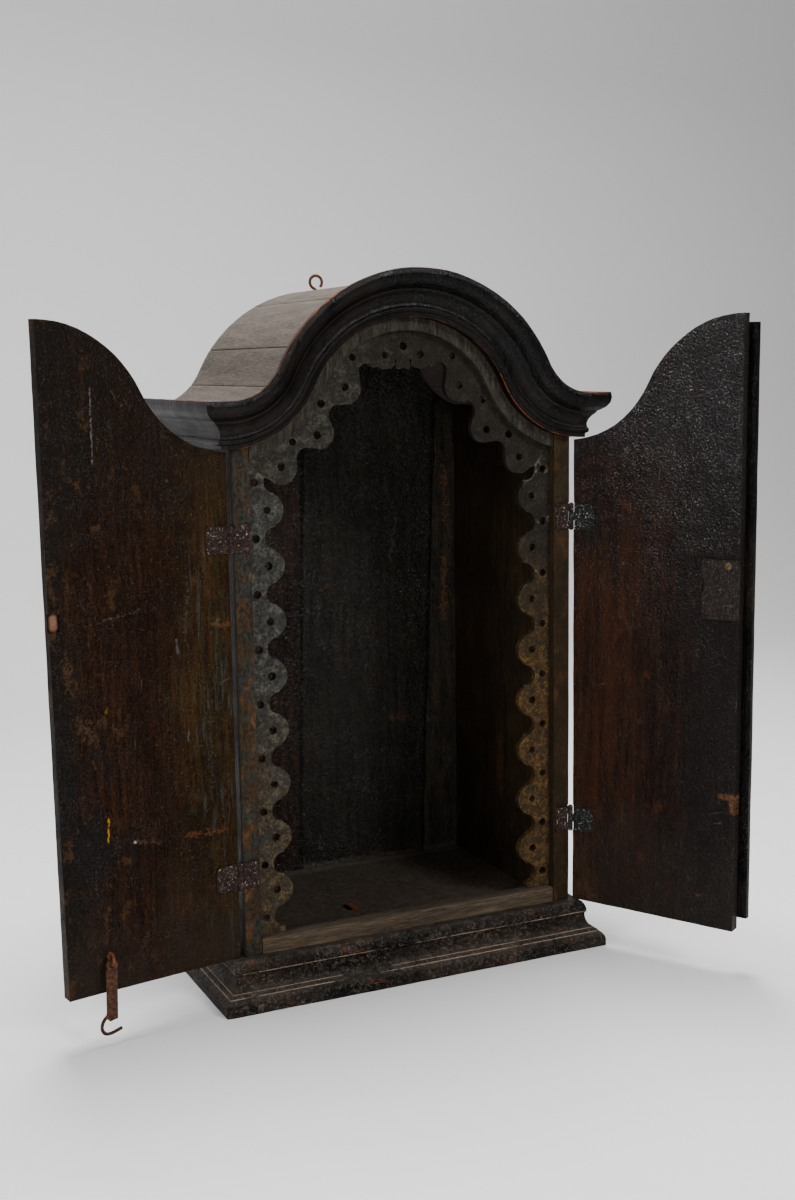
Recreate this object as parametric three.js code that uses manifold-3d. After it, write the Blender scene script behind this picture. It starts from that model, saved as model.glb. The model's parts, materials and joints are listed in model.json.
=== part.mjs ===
// A folding shrine box: an arched wooden case with a moulded crown and base, pierced
// fretwork round its mouth, and two overlay doors that fold back on iron hinges.
// Millimetres, +Z up. X runs across the front and Y from the front plane to the back.
// Pieces are laid out from the front plane of the case at Y = 0, and the finished group is
// then moved so that the origin is under the middle of the bottom rail, on the ground.
import * as THREE from 'three';
import { mergeVertices } from 'three/addons/utils/BufferGeometryUtils.js';
import Module from 'manifold-3d';

const wasm = await Module();
wasm.setup();

// ---- driving dimensions ----
const GAP = 0.3; // what two pieces that touch keep between them
const CASE_HALF = 200; // half the width of the case
const SIDE_THICK = 20;
const CASE_BACK = 246; // front plane to the back boards
const BACK_THICK = 12;
const BASE_HEIGHT = 52; // ledge of the base moulding
const FLOOR_THICK = 15;
const RAIL_TOP = 69.5;
const RAIL_DEPTH = 18;
const HEAD_THICK = 9.2;

// The bonnet curve: a round arch that sweeps out into two flat shoulders.
// It is the lower edge of the crown, and every other arched line is an offset of it.
const SHOULDER_Z = 590;
const APEX_Z = 722;
const ARCH_R = 122;
const SWEEP_R = 107;

// offsets from the bonnet curve, outwards
const CROWN_DEPTH = 50;
const ROOF_TOP = 39;
const PLANK_THICK = 11;
const HEAD_EDGE = -14;
const FRET_EDGE = -2;
const DOOR_EDGE = -3;

// fretwork
const FRET_FRONT = 9.5;
const FRET_THICK = 8;
const LOBE_COUNT = 8;
const LOBE_PITCH = 58.35;
const TOP_LOBE_Z = 525.5;
const LOBE_R = 17.5;
const LOBE_X = 157;
const TROUGH_R = 11.9;
const SCALLOP_LINE = 149.3; // the line that lobes stand out from and troughs bite into
const MITRE_Z = 579; // outer end of the seam between strip and arch
const HOLE_R = 4.4;

// doors
const DOOR_THICK = 14;
const DOOR_FACE = -2.7; // inner face of a closed door
const DOOR_LOW = 52.6;
const DOOR_HINGE_X = 199.8;
const DOOR_WIDTH = { left: 198, right: 200.6 };
const DOOR_TAPER = { left: 3.6, right: 1.2 }; // how much narrower the foot of the door is
const DOOR_RISE = { left: 0.8, right: 1.9 }; // how much closer to the crown the top of the arch is
const DOOR_OPEN = { left: 169.8, right: 119.2 }; // degrees from closed

// hinges
const PIVOT_X = 201.8;
const PIVOT_Y = -1.35;
const BARREL_R = 3.2;
const BORE_R = 1.85;
const PIN_R = 1.5;
const LEAF_THICK = 0.9;
const HINGE_HEIGHT = 29;
const HINGE_Z = { left: { upper: 499, lower: 142 }, right: { upper: 501, lower: 150 } };

// colours and finishes
const FINISH = {
  blackWood: { color: 0x1c1815, roughness: 0.45, metalness: 0 },
  brownWood: { color: 0x3a2a1e, roughness: 0.6, metalness: 0 },
  innerWood: { color: 0x241b15, roughness: 0.7, metalness: 0 },
  greyWood: { color: 0x6f665c, roughness: 0.9, metalness: 0 },
  paintedWood: { color: 0x55563f, roughness: 0.75, metalness: 0 },
  rustyIron: { color: 0x4a2a1c, roughness: 0.8, metalness: 0.6 },
  brass: { color: 0x8a6a32, roughness: 0.5, metalness: 0.9 },
};

const radians = THREE.MathUtils.degToRad;

// ---- solids ----
function toSolid(geometry) {
  const bare = geometry.clone();
  bare.deleteAttribute('normal');
  bare.deleteAttribute('uv');
  const merged = mergeVertices(bare, 1e-4);
  return new wasm.Manifold(new wasm.Mesh({
    numProp: 3,
    vertProperties: new Float32Array(merged.attributes.position.array),
    triVerts: new Uint32Array(merged.index.array),
  }));
}

function toGeometry(solid) {
  const mesh = solid.getMesh();
  const geometry = new THREE.BufferGeometry();
  geometry.setAttribute('position', new THREE.BufferAttribute(mesh.vertProperties, 3));
  geometry.setIndex(new THREE.BufferAttribute(mesh.triVerts, 1));
  return geometry;
}

function cut(geometry, ...tools) {
  const solid = tools.reduce((left, tool) => left.subtract(toSolid(tool)), toSolid(geometry));
  return toGeometry(solid);
}

function join(geometry, ...others) {
  const solid = others.reduce((sum, other) => sum.add(toSolid(other)), toSolid(geometry));
  return toGeometry(solid);
}

function keepInside(geometry, tool) {
  return toGeometry(toSolid(geometry).intersect(toSolid(tool)));
}

function box(x, y, z) {
  const size = new THREE.BoxGeometry(x[1] - x[0], y[1] - y[0], z[1] - z[0]);
  return size.translate((x[0] + x[1]) / 2, (y[0] + y[1]) / 2, (z[0] + z[1]) / 2);
}

function postZ(x, y, radius, zLow, zHigh, sides) {
  const post = new THREE.CylinderGeometry(radius, radius, zHigh - zLow, sides);
  return post.rotateX(Math.PI / 2).translate(x, y, (zLow + zHigh) / 2);
}

// An outline in X and Z, as thick as the stretch of Y given.
function frontBoard(outline, yFront, yBack, holes = []) {
  const shape = new THREE.Shape(outline);
  holes.forEach(({ x, z, r }) => shape.holes.push(new THREE.Path(ring(x, z, r, 8))));
  const board = new THREE.ExtrudeGeometry(shape, { depth: yBack - yFront, bevelEnabled: false });
  return board.rotateX(Math.PI / 2).translate(0, yBack, 0);
}

// A section in Y and Z, run along X.
function crossLength(section, xLeft, xRight) {
  const shape = new THREE.Shape(section);
  const length = new THREE.ExtrudeGeometry(shape, { depth: xRight - xLeft, bevelEnabled: false });
  const turn = new THREE.Matrix4().makeBasis(
    new THREE.Vector3(0, 1, 0), new THREE.Vector3(0, 0, 1), new THREE.Vector3(1, 0, 0));
  return length.applyMatrix4(turn).translate(xLeft, 0, 0);
}

// An outline in X and Y, raised along Z.
function flatBoard(outline, zLow, zHigh) {
  const shape = new THREE.Shape(outline);
  const board = new THREE.ExtrudeGeometry(shape, { depth: zHigh - zLow, bevelEnabled: false });
  return board.translate(0, 0, zLow);
}

// ---- lines ----
const point = (x, y) => new THREE.Vector2(x, y);
const mirrored = (points) => points.map((p) => point(-p.x, p.y)).reverse();
const sided = (side, points) => (side > 0 ? points : mirrored(points));

function arc(x, z, radius, fromDegrees, toDegrees, steps) {
  return Array.from({ length: steps + 1 }, (_, i) => {
    const angle = radians(fromDegrees + (toDegrees - fromDegrees) * i / steps);
    return point(x + radius * Math.cos(angle), z + radius * Math.sin(angle));
  });
}

function ring(x, z, radius, sides) {
  return arc(x, z, radius, 0, 360, sides).slice(1);
}

const ARCH_Z = APEX_Z - ARCH_R;
const SWEEP_Z = SHOULDER_Z + SWEEP_R;
const SWEEP_X = Math.sqrt((ARCH_R + SWEEP_R) ** 2 - (SWEEP_Z - ARCH_Z) ** 2);
const TURN = Math.atan2(SWEEP_X, SWEEP_Z - ARCH_Z);

// A point of the bonnet curve moved outwards by an offset. Stations -1 to 1 lie on the round
// arch, 1 to 2 on the sweep on each side, and past 2 on the flat shoulder.
function archPoint(offset, station) {
  const side = Math.sign(station) || 1;
  const far = Math.abs(station);
  if (far <= 1) {
    const angle = far * TURN;
    const radius = ARCH_R + offset;
    return point(side * radius * Math.sin(angle), ARCH_Z + radius * Math.cos(angle));
  }
  const angle = Math.max(2 - far, 0) * TURN;
  const radius = SWEEP_R - offset;
  const flat = Math.max(far - 2, 0) * SWEEP_R * TURN;
  return point(side * (SWEEP_X - radius * Math.sin(angle) + flat), SWEEP_Z - radius * Math.cos(angle));
}

function stationAt(offset, x) {
  const side = Math.sign(x) || 1;
  const turnX = (ARCH_R + offset) * Math.sin(TURN);
  const far = Math.abs(x);
  if (far <= turnX) return side * Math.asin(far / (ARCH_R + offset)) / TURN;
  return side * (2 - Math.asin((SWEEP_X - far) / (SWEEP_R - offset)) / TURN);
}

// Every arched line turns at the same stations, so that lines at two offsets stay parallel.
const ARCH_STEPS = 12;
const SWEEP_STEPS = 10;
const halfStations = [
  ...Array.from({ length: ARCH_STEPS }, (_, i) => (i + 1) / ARCH_STEPS),
  ...Array.from({ length: SWEEP_STEPS }, (_, i) => 1 + (i + 1) / SWEEP_STEPS),
];
const STATIONS = [...halfStations.map((s) => -s).reverse(), 0, ...halfStations];

function archLine(offset, from, to) {
  const [low, high] = [Math.min(from, to), Math.max(from, to)];
  const between = STATIONS.filter((s) => s > low + 0.01 && s < high - 0.01);
  const stations = [low, ...between, high];
  if (from > to) stations.reverse();
  return stations.map((s) => archPoint(offset, s));
}

const archSpan = (offset, fromX, toX) => archLine(offset, stationAt(offset, fromX), stationAt(offset, toX));

// ---- the scene graph ----
const shrine = new THREE.Group();

function addPiece(name, geometry, finish, parent = shrine) {
  const mesh = new THREE.Mesh(geometry, new THREE.MeshStandardMaterial(FINISH[finish]));
  mesh.name = name;
  parent.add(mesh);
  return mesh;
}

const SIDES = [['left', -1], ['right', 1]];
const INNER_HALF = CASE_HALF - SIDE_THICK;
const FITTED_HALF = INNER_HALF - GAP; // half the length of a piece that fits between the sides

// ---- case ----
function hingeClearances(name, side) {
  return Object.values(HINGE_Z[name]).map((z) => postZ(
    side * PIVOT_X, PIVOT_Y, BARREL_R + 0.5, z - HINGE_HEIGHT / 2 - 0.6, z + HINGE_HEIGHT / 2 + 0.6, 12));
}

function sideBoard(name, side) {
  const under = ROOF_TOP - PLANK_THICK - GAP;
  const outline = [point(INNER_HALF, 0), point(CASE_HALF, 0), ...archSpan(under, CASE_HALF, INNER_HALF)];
  const board = frontBoard(sided(side, outline), 0, CASE_BACK - GAP);
  return cut(board, ...hingeClearances(name, side));
}

SIDES.forEach(([name, side]) => addPiece(`side_board_${name}`, sideBoard(name, side), 'blackWood'));

// Three upright back boards whose joints lean a little.
const BACK_JOINTS = [
  { low: -CASE_HALF, high: -CASE_HALF },
  { low: -40, high: -20 },
  { low: 127, high: 154 },
  { low: CASE_HALF, high: CASE_HALF },
];

function backBoard(index) {
  const under = ROOF_TOP - PLANK_THICK - GAP;
  const left = BACK_JOINTS[index];
  const right = BACK_JOINTS[index + 1];
  const halfGap = (joint) => (Math.abs(joint.low) < CASE_HALF ? GAP / 2 : 0);
  const top = archSpan(under, left.high + halfGap(left), right.high - halfGap(right));
  const outline = [...top, point(right.low - halfGap(right), 0), point(left.low + halfGap(left), 0)];
  return frontBoard(outline, CASE_BACK, CASE_BACK + BACK_THICK);
}

['left', 'middle', 'right'].forEach((name, i) => addPiece(`back_board_${name}`, backBoard(i), 'innerWood'));

addPiece('floor_board', box(
  [-FITTED_HALF, FITTED_HALF], [RAIL_DEPTH + GAP, CASE_BACK - GAP],
  [BASE_HEIGHT - FLOOR_THICK, BASE_HEIGHT]), 'innerWood');
addPiece('bottom_rail', box([-FITTED_HALF, FITTED_HALF], [0, RAIL_DEPTH], [0, RAIL_TOP]), 'brownWood');

const headOutline = [
  ...archSpan(ROOF_TOP - PLANK_THICK - GAP, -FITTED_HALF, FITTED_HALF),
  ...archSpan(HEAD_EDGE, FITTED_HALF, -FITTED_HALF),
];
addPiece('arched_head_board', frontBoard(headOutline, 0, HEAD_THICK), 'brownWood');

// ---- fretwork ----
const lobeZ = (k) => TOP_LOBE_Z - k * LOBE_PITCH;
const troughZ = (k) => lobeZ(k - 0.5);
const LOBE_ANGLE = THREE.MathUtils.radToDeg(Math.acos((LOBE_X - SCALLOP_LINE) / LOBE_R));

// The top trough is cut short by the seam, which climbs at 45 degrees to the outer corner.
function seamStart(x, z, radius, seamShift) {
  const away = (x - z + MITRE_Z + seamShift - FITTED_HALF) / 2;
  const along = Math.sqrt((radius ** 2 - 2 * away ** 2) / 2);
  return point(x - away + along, z + away + along);
}

function stripOutline() {
  const topTrough = troughZ(0);
  const start = seamStart(SCALLOP_LINE, topTrough, TROUGH_R, 0);
  const startAngle = THREE.MathUtils.radToDeg(Math.atan2(start.y - topTrough, start.x - SCALLOP_LINE));
  const outline = [point(FITTED_HALF, RAIL_TOP + GAP), point(FITTED_HALF, MITRE_Z)];
  outline.push(...arc(SCALLOP_LINE, topTrough, TROUGH_R, startAngle, -90, 5));
  for (let k = 0; k < LOBE_COUNT; k += 1) {
    outline.push(...arc(LOBE_X, lobeZ(k), LOBE_R, 180 - LOBE_ANGLE, 180 + LOBE_ANGLE, 9));
    outline.push(...arc(SCALLOP_LINE, troughZ(k + 1), TROUGH_R, 90, -90, 8));
  }
  outline.push(point(SCALLOP_LINE, RAIL_TOP + GAP));
  return outline;
}

const TROUGH_HOLE_X = 171;
const stripHoles = [];
for (let k = 0; k <= LOBE_COUNT; k += 1) {
  if (k < LOBE_COUNT) stripHoles.push({ x: LOBE_X + 0.6, z: lobeZ(k), r: HOLE_R });
  stripHoles.push({ x: TROUGH_HOLE_X, z: troughZ(k), r: HOLE_R });
}

SIDES.forEach(([name, side]) => {
  const holes = stripHoles.map((hole) => ({ ...hole, x: side * hole.x }));
  const strip = frontBoard(sided(side, stripOutline()), FRET_FRONT, FRET_FRONT + FRET_THICK, holes);
  addPiece(`fret_strip_${name}`, strip, 'paintedWood');
});

// Half of the arch's lower edge, from the middle outwards: a small hanging curl, a round disc,
// then troughs and lobes in steps down to the seam. Angles are in degrees.
const ARCH_CUTS = [
  { x: 5.2, z: 670.8, r: 3.4, from: 205, to: 375, steps: 6 }, // curl
  { x: 8.8, z: 677.5, r: 1.3, from: 180, to: 0, steps: 3 }, // slot
  { x: 20.3, z: 683, r: 15, from: 222, to: 316, steps: 8 }, // disc
  { x: 33.6, z: 671.2, r: 1.4, from: 200, to: 340, steps: 3 }, // cusp
  { x: 43.5, z: 666, r: 8.6, from: 146, to: -20, steps: 6 }, // trough
  { x: 66.5, z: 648.8, r: 17, from: 160, to: 282, steps: 9 }, // lobe
  { x: 76, z: 621.3, r: 10.7, from: 104, to: -40, steps: 7 }, // trough
  { x: 97.3, z: 602.8, r: 16.5, from: 170, to: 292, steps: 9 }, // lobe
  { x: 113, z: 577.5, r: 10.8, from: 112, to: -18, steps: 7 }, // trough
  { x: 140.5, z: 568, r: 17, from: 176, to: 318, steps: 10 }, // lobe
];

function halfArchEdge() {
  const seam = seamStart(SCALLOP_LINE, troughZ(0), TROUGH_R, 2 * GAP);
  const edge = ARCH_CUTS.flatMap((c) => arc(c.x, c.z, c.r, c.from, c.to, c.steps));
  return [...edge, seam, point(FITTED_HALF, MITRE_Z + 2 * GAP)];
}

const ARCH_HOLES = [
  { x: 0.5, z: 692, r: HOLE_R },
  ...[[20.6, 683], [58.5, 681], [67, 650], [95.2, 633.5], [100.2, 601], [128, 595], [141.2, 569.5]]
    .flatMap(([x, z]) => [{ x, z, r: HOLE_R }, { x: -x, z, r: HOLE_R }]),
];

const fretArchOutline = [
  ...archSpan(FRET_EDGE, -FITTED_HALF, FITTED_HALF),
  ...halfArchEdge().reverse(),
  ...mirrored(halfArchEdge()).reverse(),
];
addPiece('fret_arch', frontBoard(
  fretArchOutline, FRET_FRONT, FRET_FRONT + FRET_THICK, ARCH_HOLES), 'paintedWood');

// ---- mouldings ----
// Sections are { out, up }: how far each point stands out from the case, and its height.
const CROWN_SECTION = [
  [GAP, 0], [12.7, 0], [12.7, 4.2], [15.6, 5.8], [16, 9], [14.3, 11.5], // fillet and bead
  [14, 15], [15.2, 19.5], [17.8, 23.5], [21.6, 27], // cove
  [22.2, 28.8], [24.8, 30], [29.6, 33.2], [33, 38], [34.2, 43.5], [33.6, 49.2], // ovolo
  [32.2, CROWN_DEPTH], [22, 48], [GAP, ROOF_TOP], // hollow back down to the roof
].map(([out, up]) => ({ out, up }));

const BASE_SECTION = [
  [GAP, 0], [32, 0], [32, 8.5], [31, 12], [28.5, 15.4], [25.6, 17.6], // plinth
  [24.2, 19.6], [20.6, 20.8], [17, 24.5], [15, 28.5], [14, 33], [13.8, 37], // fillets and cove
  [15.6, 39], [15.5, 43], [13.8, 47.5], [11.2, 51], [8.8, BASE_HEIGHT], [GAP, BASE_HEIGHT], // bead and ledge
].map(([out, up]) => ({ out, up }));

// Each front corner is a mitre. Prisms on either side of it trim the lengths that meet there.
const REACH = 60;
const MITRE_GAP = 0.2;

function frontPrism() {
  const near = CASE_HALF - MITRE_GAP;
  return flatBoard([
    point(-near, 0), point(-near - REACH, -REACH), point(near + REACH, -REACH), point(near, 0)], -10, 900);
}

function sidePrism(side) {
  const near = CASE_HALF + MITRE_GAP;
  const outline = [
    point(near, 0), point(near + REACH, -REACH), point(near + REACH, 400), point(CASE_HALF, 400), point(CASE_HALF, 0)];
  return flatBoard(sided(side, outline), -10, 900);
}

class BonnetLine extends THREE.Curve {
  getPoint(t, target = new THREE.Vector3()) {
    const place = archPoint(0, (2 * t - 1) * 2.35);
    return target.set(place.x, 0, place.y);
  }
}

function crownFront() {
  const section = new THREE.Shape(CROWN_SECTION.map(({ out, up }) => point(-up, -out)));
  const sweep = new THREE.ExtrudeGeometry(section, { steps: 52, extrudePath: new BonnetLine() });
  return keepInside(sweep, frontPrism());
}

function sideLength(sectionPoints, zLow, side) {
  const outline = sectionPoints.map(({ out, up }) => point(CASE_HALF + out, zLow + up));
  const length = frontBoard(sided(side, outline), -REACH, CASE_BACK + BACK_THICK);
  return keepInside(length, sidePrism(side));
}

addPiece('crown_front', crownFront(), 'blackWood');
SIDES.forEach(([name, side]) => addPiece(
  `crown_return_${name}`, sideLength(CROWN_SECTION, SHOULDER_Z, side), 'blackWood'));

// The left front corner of the plinth has lost its sharp edge.
const CHIP = box([-5, 5], [-6, 6], [-1, 13]).rotateZ(Math.PI / 4).translate(
  -CASE_HALF - 34.5, -34.5, 0);

const baseFrontSection = BASE_SECTION.map(({ out, up }) => point(-out, up));
const baseFront = keepInside(crossLength(baseFrontSection, -CASE_HALF - REACH, CASE_HALF + REACH), frontPrism());
addPiece('base_front', cut(baseFront, CHIP), 'blackWood');
SIDES.forEach(([name, side]) => {
  const length = sideLength(BASE_SECTION, 0, side);
  addPiece(`base_side_${name}`, side < 0 ? cut(length, CHIP) : length, 'blackWood');
});

// ---- roof: planks laid front to back on the curve, like the staves of a barrel ----
const PLANK_JOINTS = [-200, -156, -132, -75, -27, 27, 75, 132, 156, 200];
const ROOF_BACK = CASE_BACK + BACK_THICK + 2;
const EYE_Y = 250;
const EYE_STEM_R = 1.8;

function roofPlank(index) {
  const under = ROOF_TOP - PLANK_THICK;
  const [fromX, toX] = [PLANK_JOINTS[index], PLANK_JOINTS[index + 1]];
  const stationOf = (offset, x) => (
    Math.abs(x) < CASE_HALF ? stationAt(ROOF_TOP, x) : stationAt(offset, x - Math.sign(x) * GAP));
  const nudge = GAP / 2 / (ARCH_R * TURN); // half the gap of a joint, as a station
  const from = (offset) => stationOf(offset, fromX) + nudge;
  const to = (offset) => stationOf(offset, toX) - nudge;
  const outline = [...archLine(ROOF_TOP, from(ROOF_TOP), to(ROOF_TOP)), ...archLine(under, to(under), from(under))];
  return frontBoard(outline, GAP, ROOF_BACK);
}

const MIDDLE_PLANK = 5;
const ROOF_Z = APEX_Z + ROOF_TOP;
for (let i = 1; i < PLANK_JOINTS.length; i += 1) {
  const plank = roofPlank(i - 1);
  const stemHole = postZ(0, EYE_Y, EYE_STEM_R + 2 * GAP, ROOF_Z - PLANK_THICK - 5, ROOF_Z + 5, 10);
  addPiece(`roof_plank_${i}`, i === MIDDLE_PLANK ? cut(plank, stemHole) : plank, 'greyWood');
}

// ---- wire ironwork ----
class PointLine extends THREE.Curve {
  constructor(points) {
    super();
    this.line = new THREE.CatmullRomCurve3(points, false, 'centripetal');
  }

  getPoint(t, target) {
    return this.line.getPoint(t, target);
  }
}

function wire(points, radius, steps, sides = 8) {
  const section = new THREE.Shape(ring(0, 0, radius, sides));
  return new THREE.ExtrudeGeometry(section, { steps, extrudePath: new PointLine(points) });
}

const EYE_LOOP_R = 7.7;
const EYE_LOOP_Z = 771;
const eyeLoop = arc(0, EYE_LOOP_Z, EYE_LOOP_R, -122, -405, 16).map((p) => new THREE.Vector3(p.x, EYE_Y, p.y));
const eyeStem = [ROOF_Z - 9, ROOF_Z + 0.4].map((z) => new THREE.Vector3(0, EYE_Y, z));
addPiece('roof_eye', wire([...eyeStem, ...eyeLoop], EYE_STEM_R, 30), 'rustyIron');

// ---- doors: each hangs in a group whose origin is its hinge axis ----
const doorGroups = {};
SIDES.forEach(([name, side]) => {
  const group = new THREE.Group();
  group.position.set(side * PIVOT_X, PIVOT_Y, 0);
  group.rotation.z = side * radians(DOOR_OPEN[name]);
  shrine.add(group);
  doorGroups[name] = group;
});

// Adds a piece that was laid out on the closed door.
function addToDoor(name, side, pieceName, geometry, finish) {
  addPiece(pieceName, geometry.translate(-side * PIVOT_X, -PIVOT_Y, 0), finish, doorGroups[name]);
}

function doorPanel(name, side) {
  const freeX = DOOR_HINGE_X - DOOR_WIDTH[name];
  const top = archSpan(DOOR_EDGE, DOOR_HINGE_X, freeX).map(({ x, y }) => (
    point(x, y + DOOR_RISE[name] * (1 - THREE.MathUtils.smoothstep(x, 30, 80)))));
  const outline = [point(freeX, 440), point(freeX + DOOR_TAPER[name], DOOR_LOW), point(DOOR_HINGE_X, DOOR_LOW), ...top];
  const panel = frontBoard(sided(side, outline), DOOR_FACE - DOOR_THICK, DOOR_FACE);
  return cut(panel, ...hingeClearances(name, side));
}

// left door: a small mortise is broken out of the meeting edge
const LEFT_FREE_X = -DOOR_HINGE_X + DOOR_WIDTH.left;
const mortise = box([LEFT_FREE_X - 12, LEFT_FREE_X + 2], [DOOR_FACE - 4, DOOR_FACE + 2], [424, 441]);
addToDoor('left', -1, 'door_left', cut(doorPanel('left', -1), mortise), 'brownWood');

// right door: an iron lock plate is let into the meeting edge
const RIGHT_FREE_X = DOOR_HINGE_X - DOOR_WIDTH.right;
const PLATE = { x: [RIGHT_FREE_X + GAP, RIGHT_FREE_X + 43], z: [397.5, 462.5], sunk: 1.6, proud: 0.5 };
const plateSeat = box(
  [RIGHT_FREE_X - 1, PLATE.x[1] + GAP], [DOOR_FACE - PLATE.sunk - GAP, DOOR_FACE + 2],
  [PLATE.z[0] - GAP, PLATE.z[1] + GAP]);
addToDoor('right', 1, 'door_right', cut(doorPanel('right', 1), plateSeat), 'brownWood');

const plateBody = box(PLATE.x, [DOOR_FACE - PLATE.sunk, DOOR_FACE + PLATE.proud], PLATE.z);
const keySlot = box([PLATE.x[1] - 2.5, PLATE.x[1] + 1], [DOOR_FACE - 3, DOOR_FACE + 3], [427, 441]);
addToDoor('right', 1, 'lock_plate', cut(plateBody, keySlot), 'rustyIron');

const LOCK_NAILS = [
  { x: 35, z: 457.5, r: 3 }, { x: 12, z: 456, r: 4.2 }, { x: 37, z: 403.5, r: 3 }, { x: 11.5, z: 404, r: 3 },
];
LOCK_NAILS.forEach(({ x, z, r }, i) => {
  const dome = [[0, 0], [r, 0], [r * 0.86, r * 0.3], [r * 0.5, r * 0.52], [0, r * 0.6]].map(([a, b]) => point(a, b));
  const nail = new THREE.LatheGeometry(dome, 8).translate(x, DOOR_FACE + PLATE.proud + GAP, z);
  addToDoor('right', 1, `lock_nail_${i + 1}`, nail, i === 1 ? 'brass' : 'rustyIron');
});

// The astragal is a moulded strip on the outside that covers the joint between the doors.
const ASTRAGAL = { low: 65, high: 711.5, half: 13.2, lap: 9 };
const astragalMiddle = RIGHT_FREE_X - ASTRAGAL.lap + ASTRAGAL.half;
const halfAstragal = [[ASTRAGAL.half, 0], [ASTRAGAL.half, 7.2], [12.4, 8], [9.6, 8.2], [8.6, 9.8], [5.4, 11.2]];
const ASTRAGAL_SECTION = [...halfAstragal, [0, 11.8], ...halfAstragal.map(([across, out]) => [-across, out]).reverse()]
  .map(([across, out]) => point(astragalMiddle + across, DOOR_FACE - DOOR_THICK - GAP - out));
addToDoor('right', 1, 'astragal_strip', flatBoard(ASTRAGAL_SECTION, ASTRAGAL.low, ASTRAGAL.high), 'blackWood');

// ---- hinges: the leaf on the case carries two barrels and the leaf on the door the middle one ----
const BARREL_CLEAR = BARREL_R + 0.4;
const FRAME_LEAF = { inner: 182, y: [-GAP - LEAF_THICK, -GAP] };
const DOOR_LEAF = { inner: 172.8, y: [DOOR_FACE + GAP, DOOR_FACE + GAP + LEAF_THICK] };
const KNUCKLE = (HINGE_HEIGHT - 2 * GAP) / 3;

function barrel(zLow) {
  const tube = postZ(PIVOT_X, PIVOT_Y, BARREL_R, zLow, zLow + KNUCKLE, 12);
  return cut(tube, postZ(PIVOT_X, PIVOT_Y, BORE_R, zLow - 1, zLow + KNUCKLE + 1, 8));
}

function leaf({ inner, y }, zMiddle, knuckles, rounded) {
  const zLow = zMiddle - HINGE_HEIGHT / 2;
  const zHigh = zMiddle + HINGE_HEIGHT / 2;
  const end = rounded
    ? [...arc(inner + 7, zHigh - 7, 7, 90, 180, 4), ...arc(inner + 7, zLow + 7, 7, 180, 270, 4)]
    : [point(inner, zHigh), point(inner, zLow)];
  const plate = frontBoard([...end, point(PIVOT_X - BARREL_CLEAR, zLow), point(PIVOT_X - BARREL_CLEAR, zHigh)], ...y);
  const parts = knuckles.flatMap((k) => {
    const low = zLow + k * (KNUCKLE + GAP);
    const tab = box([PIVOT_X - BARREL_CLEAR - 1, PIVOT_X - BORE_R - 0.35], y, [low, low + KNUCKLE]);
    return [barrel(low), tab];
  });
  return join(plate, ...parts);
}

// Flips a right-hand piece across the middle of the case.
function otherHand(geometry) {
  return toGeometry(toSolid(geometry).mirror([1, 0, 0]));
}

SIDES.forEach(([name, side]) => {
  const handed = (geometry) => (side > 0 ? geometry : otherHand(geometry));
  Object.entries(HINGE_Z[name]).forEach(([level, z]) => {
    addPiece(`frame_leaf_${level}_${name}`, handed(leaf(FRAME_LEAF, z, [0, 2], false)), 'rustyIron');
    const pin = postZ(side * PIVOT_X, PIVOT_Y, PIN_R, z - HINGE_HEIGHT / 2 - 1, z + HINGE_HEIGHT / 2 + 1, 8);
    addPiece(`hinge_pin_${level}_${name}`, pin, 'rustyIron');
    addToDoor(name, side, `door_leaf_${level}_${name}`, handed(leaf(DOOR_LEAF, z, [1], true)), 'rustyIron');
  });
});

// ---- hook on the left door: it hangs from an iron eye near the lower free corner ----
const HOOK_X = -DOOR_HINGE_X + 152; // on the closed door
const EYE_Z = 90;
const EYE_OUT = DOOR_FACE + 8.8;
const EYE_R = 6.2;
const EYE_WIRE_R = 1.6;
const HOOK_HALF_THICK = 1.5;

function eyeWithStem() {
  const eye = new THREE.TorusGeometry(EYE_R, EYE_WIRE_R, 8, 18).rotateY(Math.PI / 2);
  const stem = new THREE.CylinderGeometry(EYE_WIRE_R, EYE_WIRE_R, 8.2, 8);
  return join(eye.translate(HOOK_X, EYE_OUT, EYE_Z), stem.translate(HOOK_X, DOOR_FACE - 1.6, EYE_Z));
}

// The head of the hook is a flat disc with a hole that the wire of the eye runs through.
// Below it a flat shank ends in a round curl.
function doorHook() {
  const along = (points) => points.map(([x, z]) => point(HOOK_X + x, z));
  const thick = [EYE_OUT - HOOK_HALF_THICK, EYE_OUT + HOOK_HALF_THICK];
  const headZ = EYE_Z - EYE_R;
  const head = frontBoard(ring(HOOK_X, headZ, 6, 16), ...thick);
  const shank = frontBoard(along([
    [-5.2, 80], [-3.6, 27.6], [5, 26], [8.4, 29.6], [7.2, 35], [6.2, 80]]), ...thick);
  const curl = wire([[4, 36], [7.4, 31.4], [11, 28], [13.1, 23.6], [13.2, 18.4], [9.6, 13.7], [4, 13], [-8, 16]]
    .map(([x, z]) => new THREE.Vector3(HOOK_X + x, EYE_OUT, z)), 1.8, 20, 8);
  const hole = new THREE.CylinderGeometry(2.6, 2.6, 8, 12).translate(HOOK_X, EYE_OUT, headZ);
  return cut(join(shank, head, curl), hole);
}

const stemHole = new THREE.CylinderGeometry(EYE_WIRE_R + GAP + 0.1, EYE_WIRE_R + GAP + 0.1, 8, 10)
  .translate(HOOK_X + PIVOT_X, DOOR_FACE - PIVOT_Y - 2, EYE_Z);
const leftPanel = shrine.getObjectByName('door_left');
leftPanel.geometry = cut(leftPanel.geometry, stemHole);
addToDoor('left', -1, 'hook_eye', eyeWithStem(), 'rustyIron');
addToDoor('left', -1, 'door_hook', doorHook(), 'rustyIron');

shrine.position.y = -RAIL_DEPTH / 2;

export default shrine;
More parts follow.
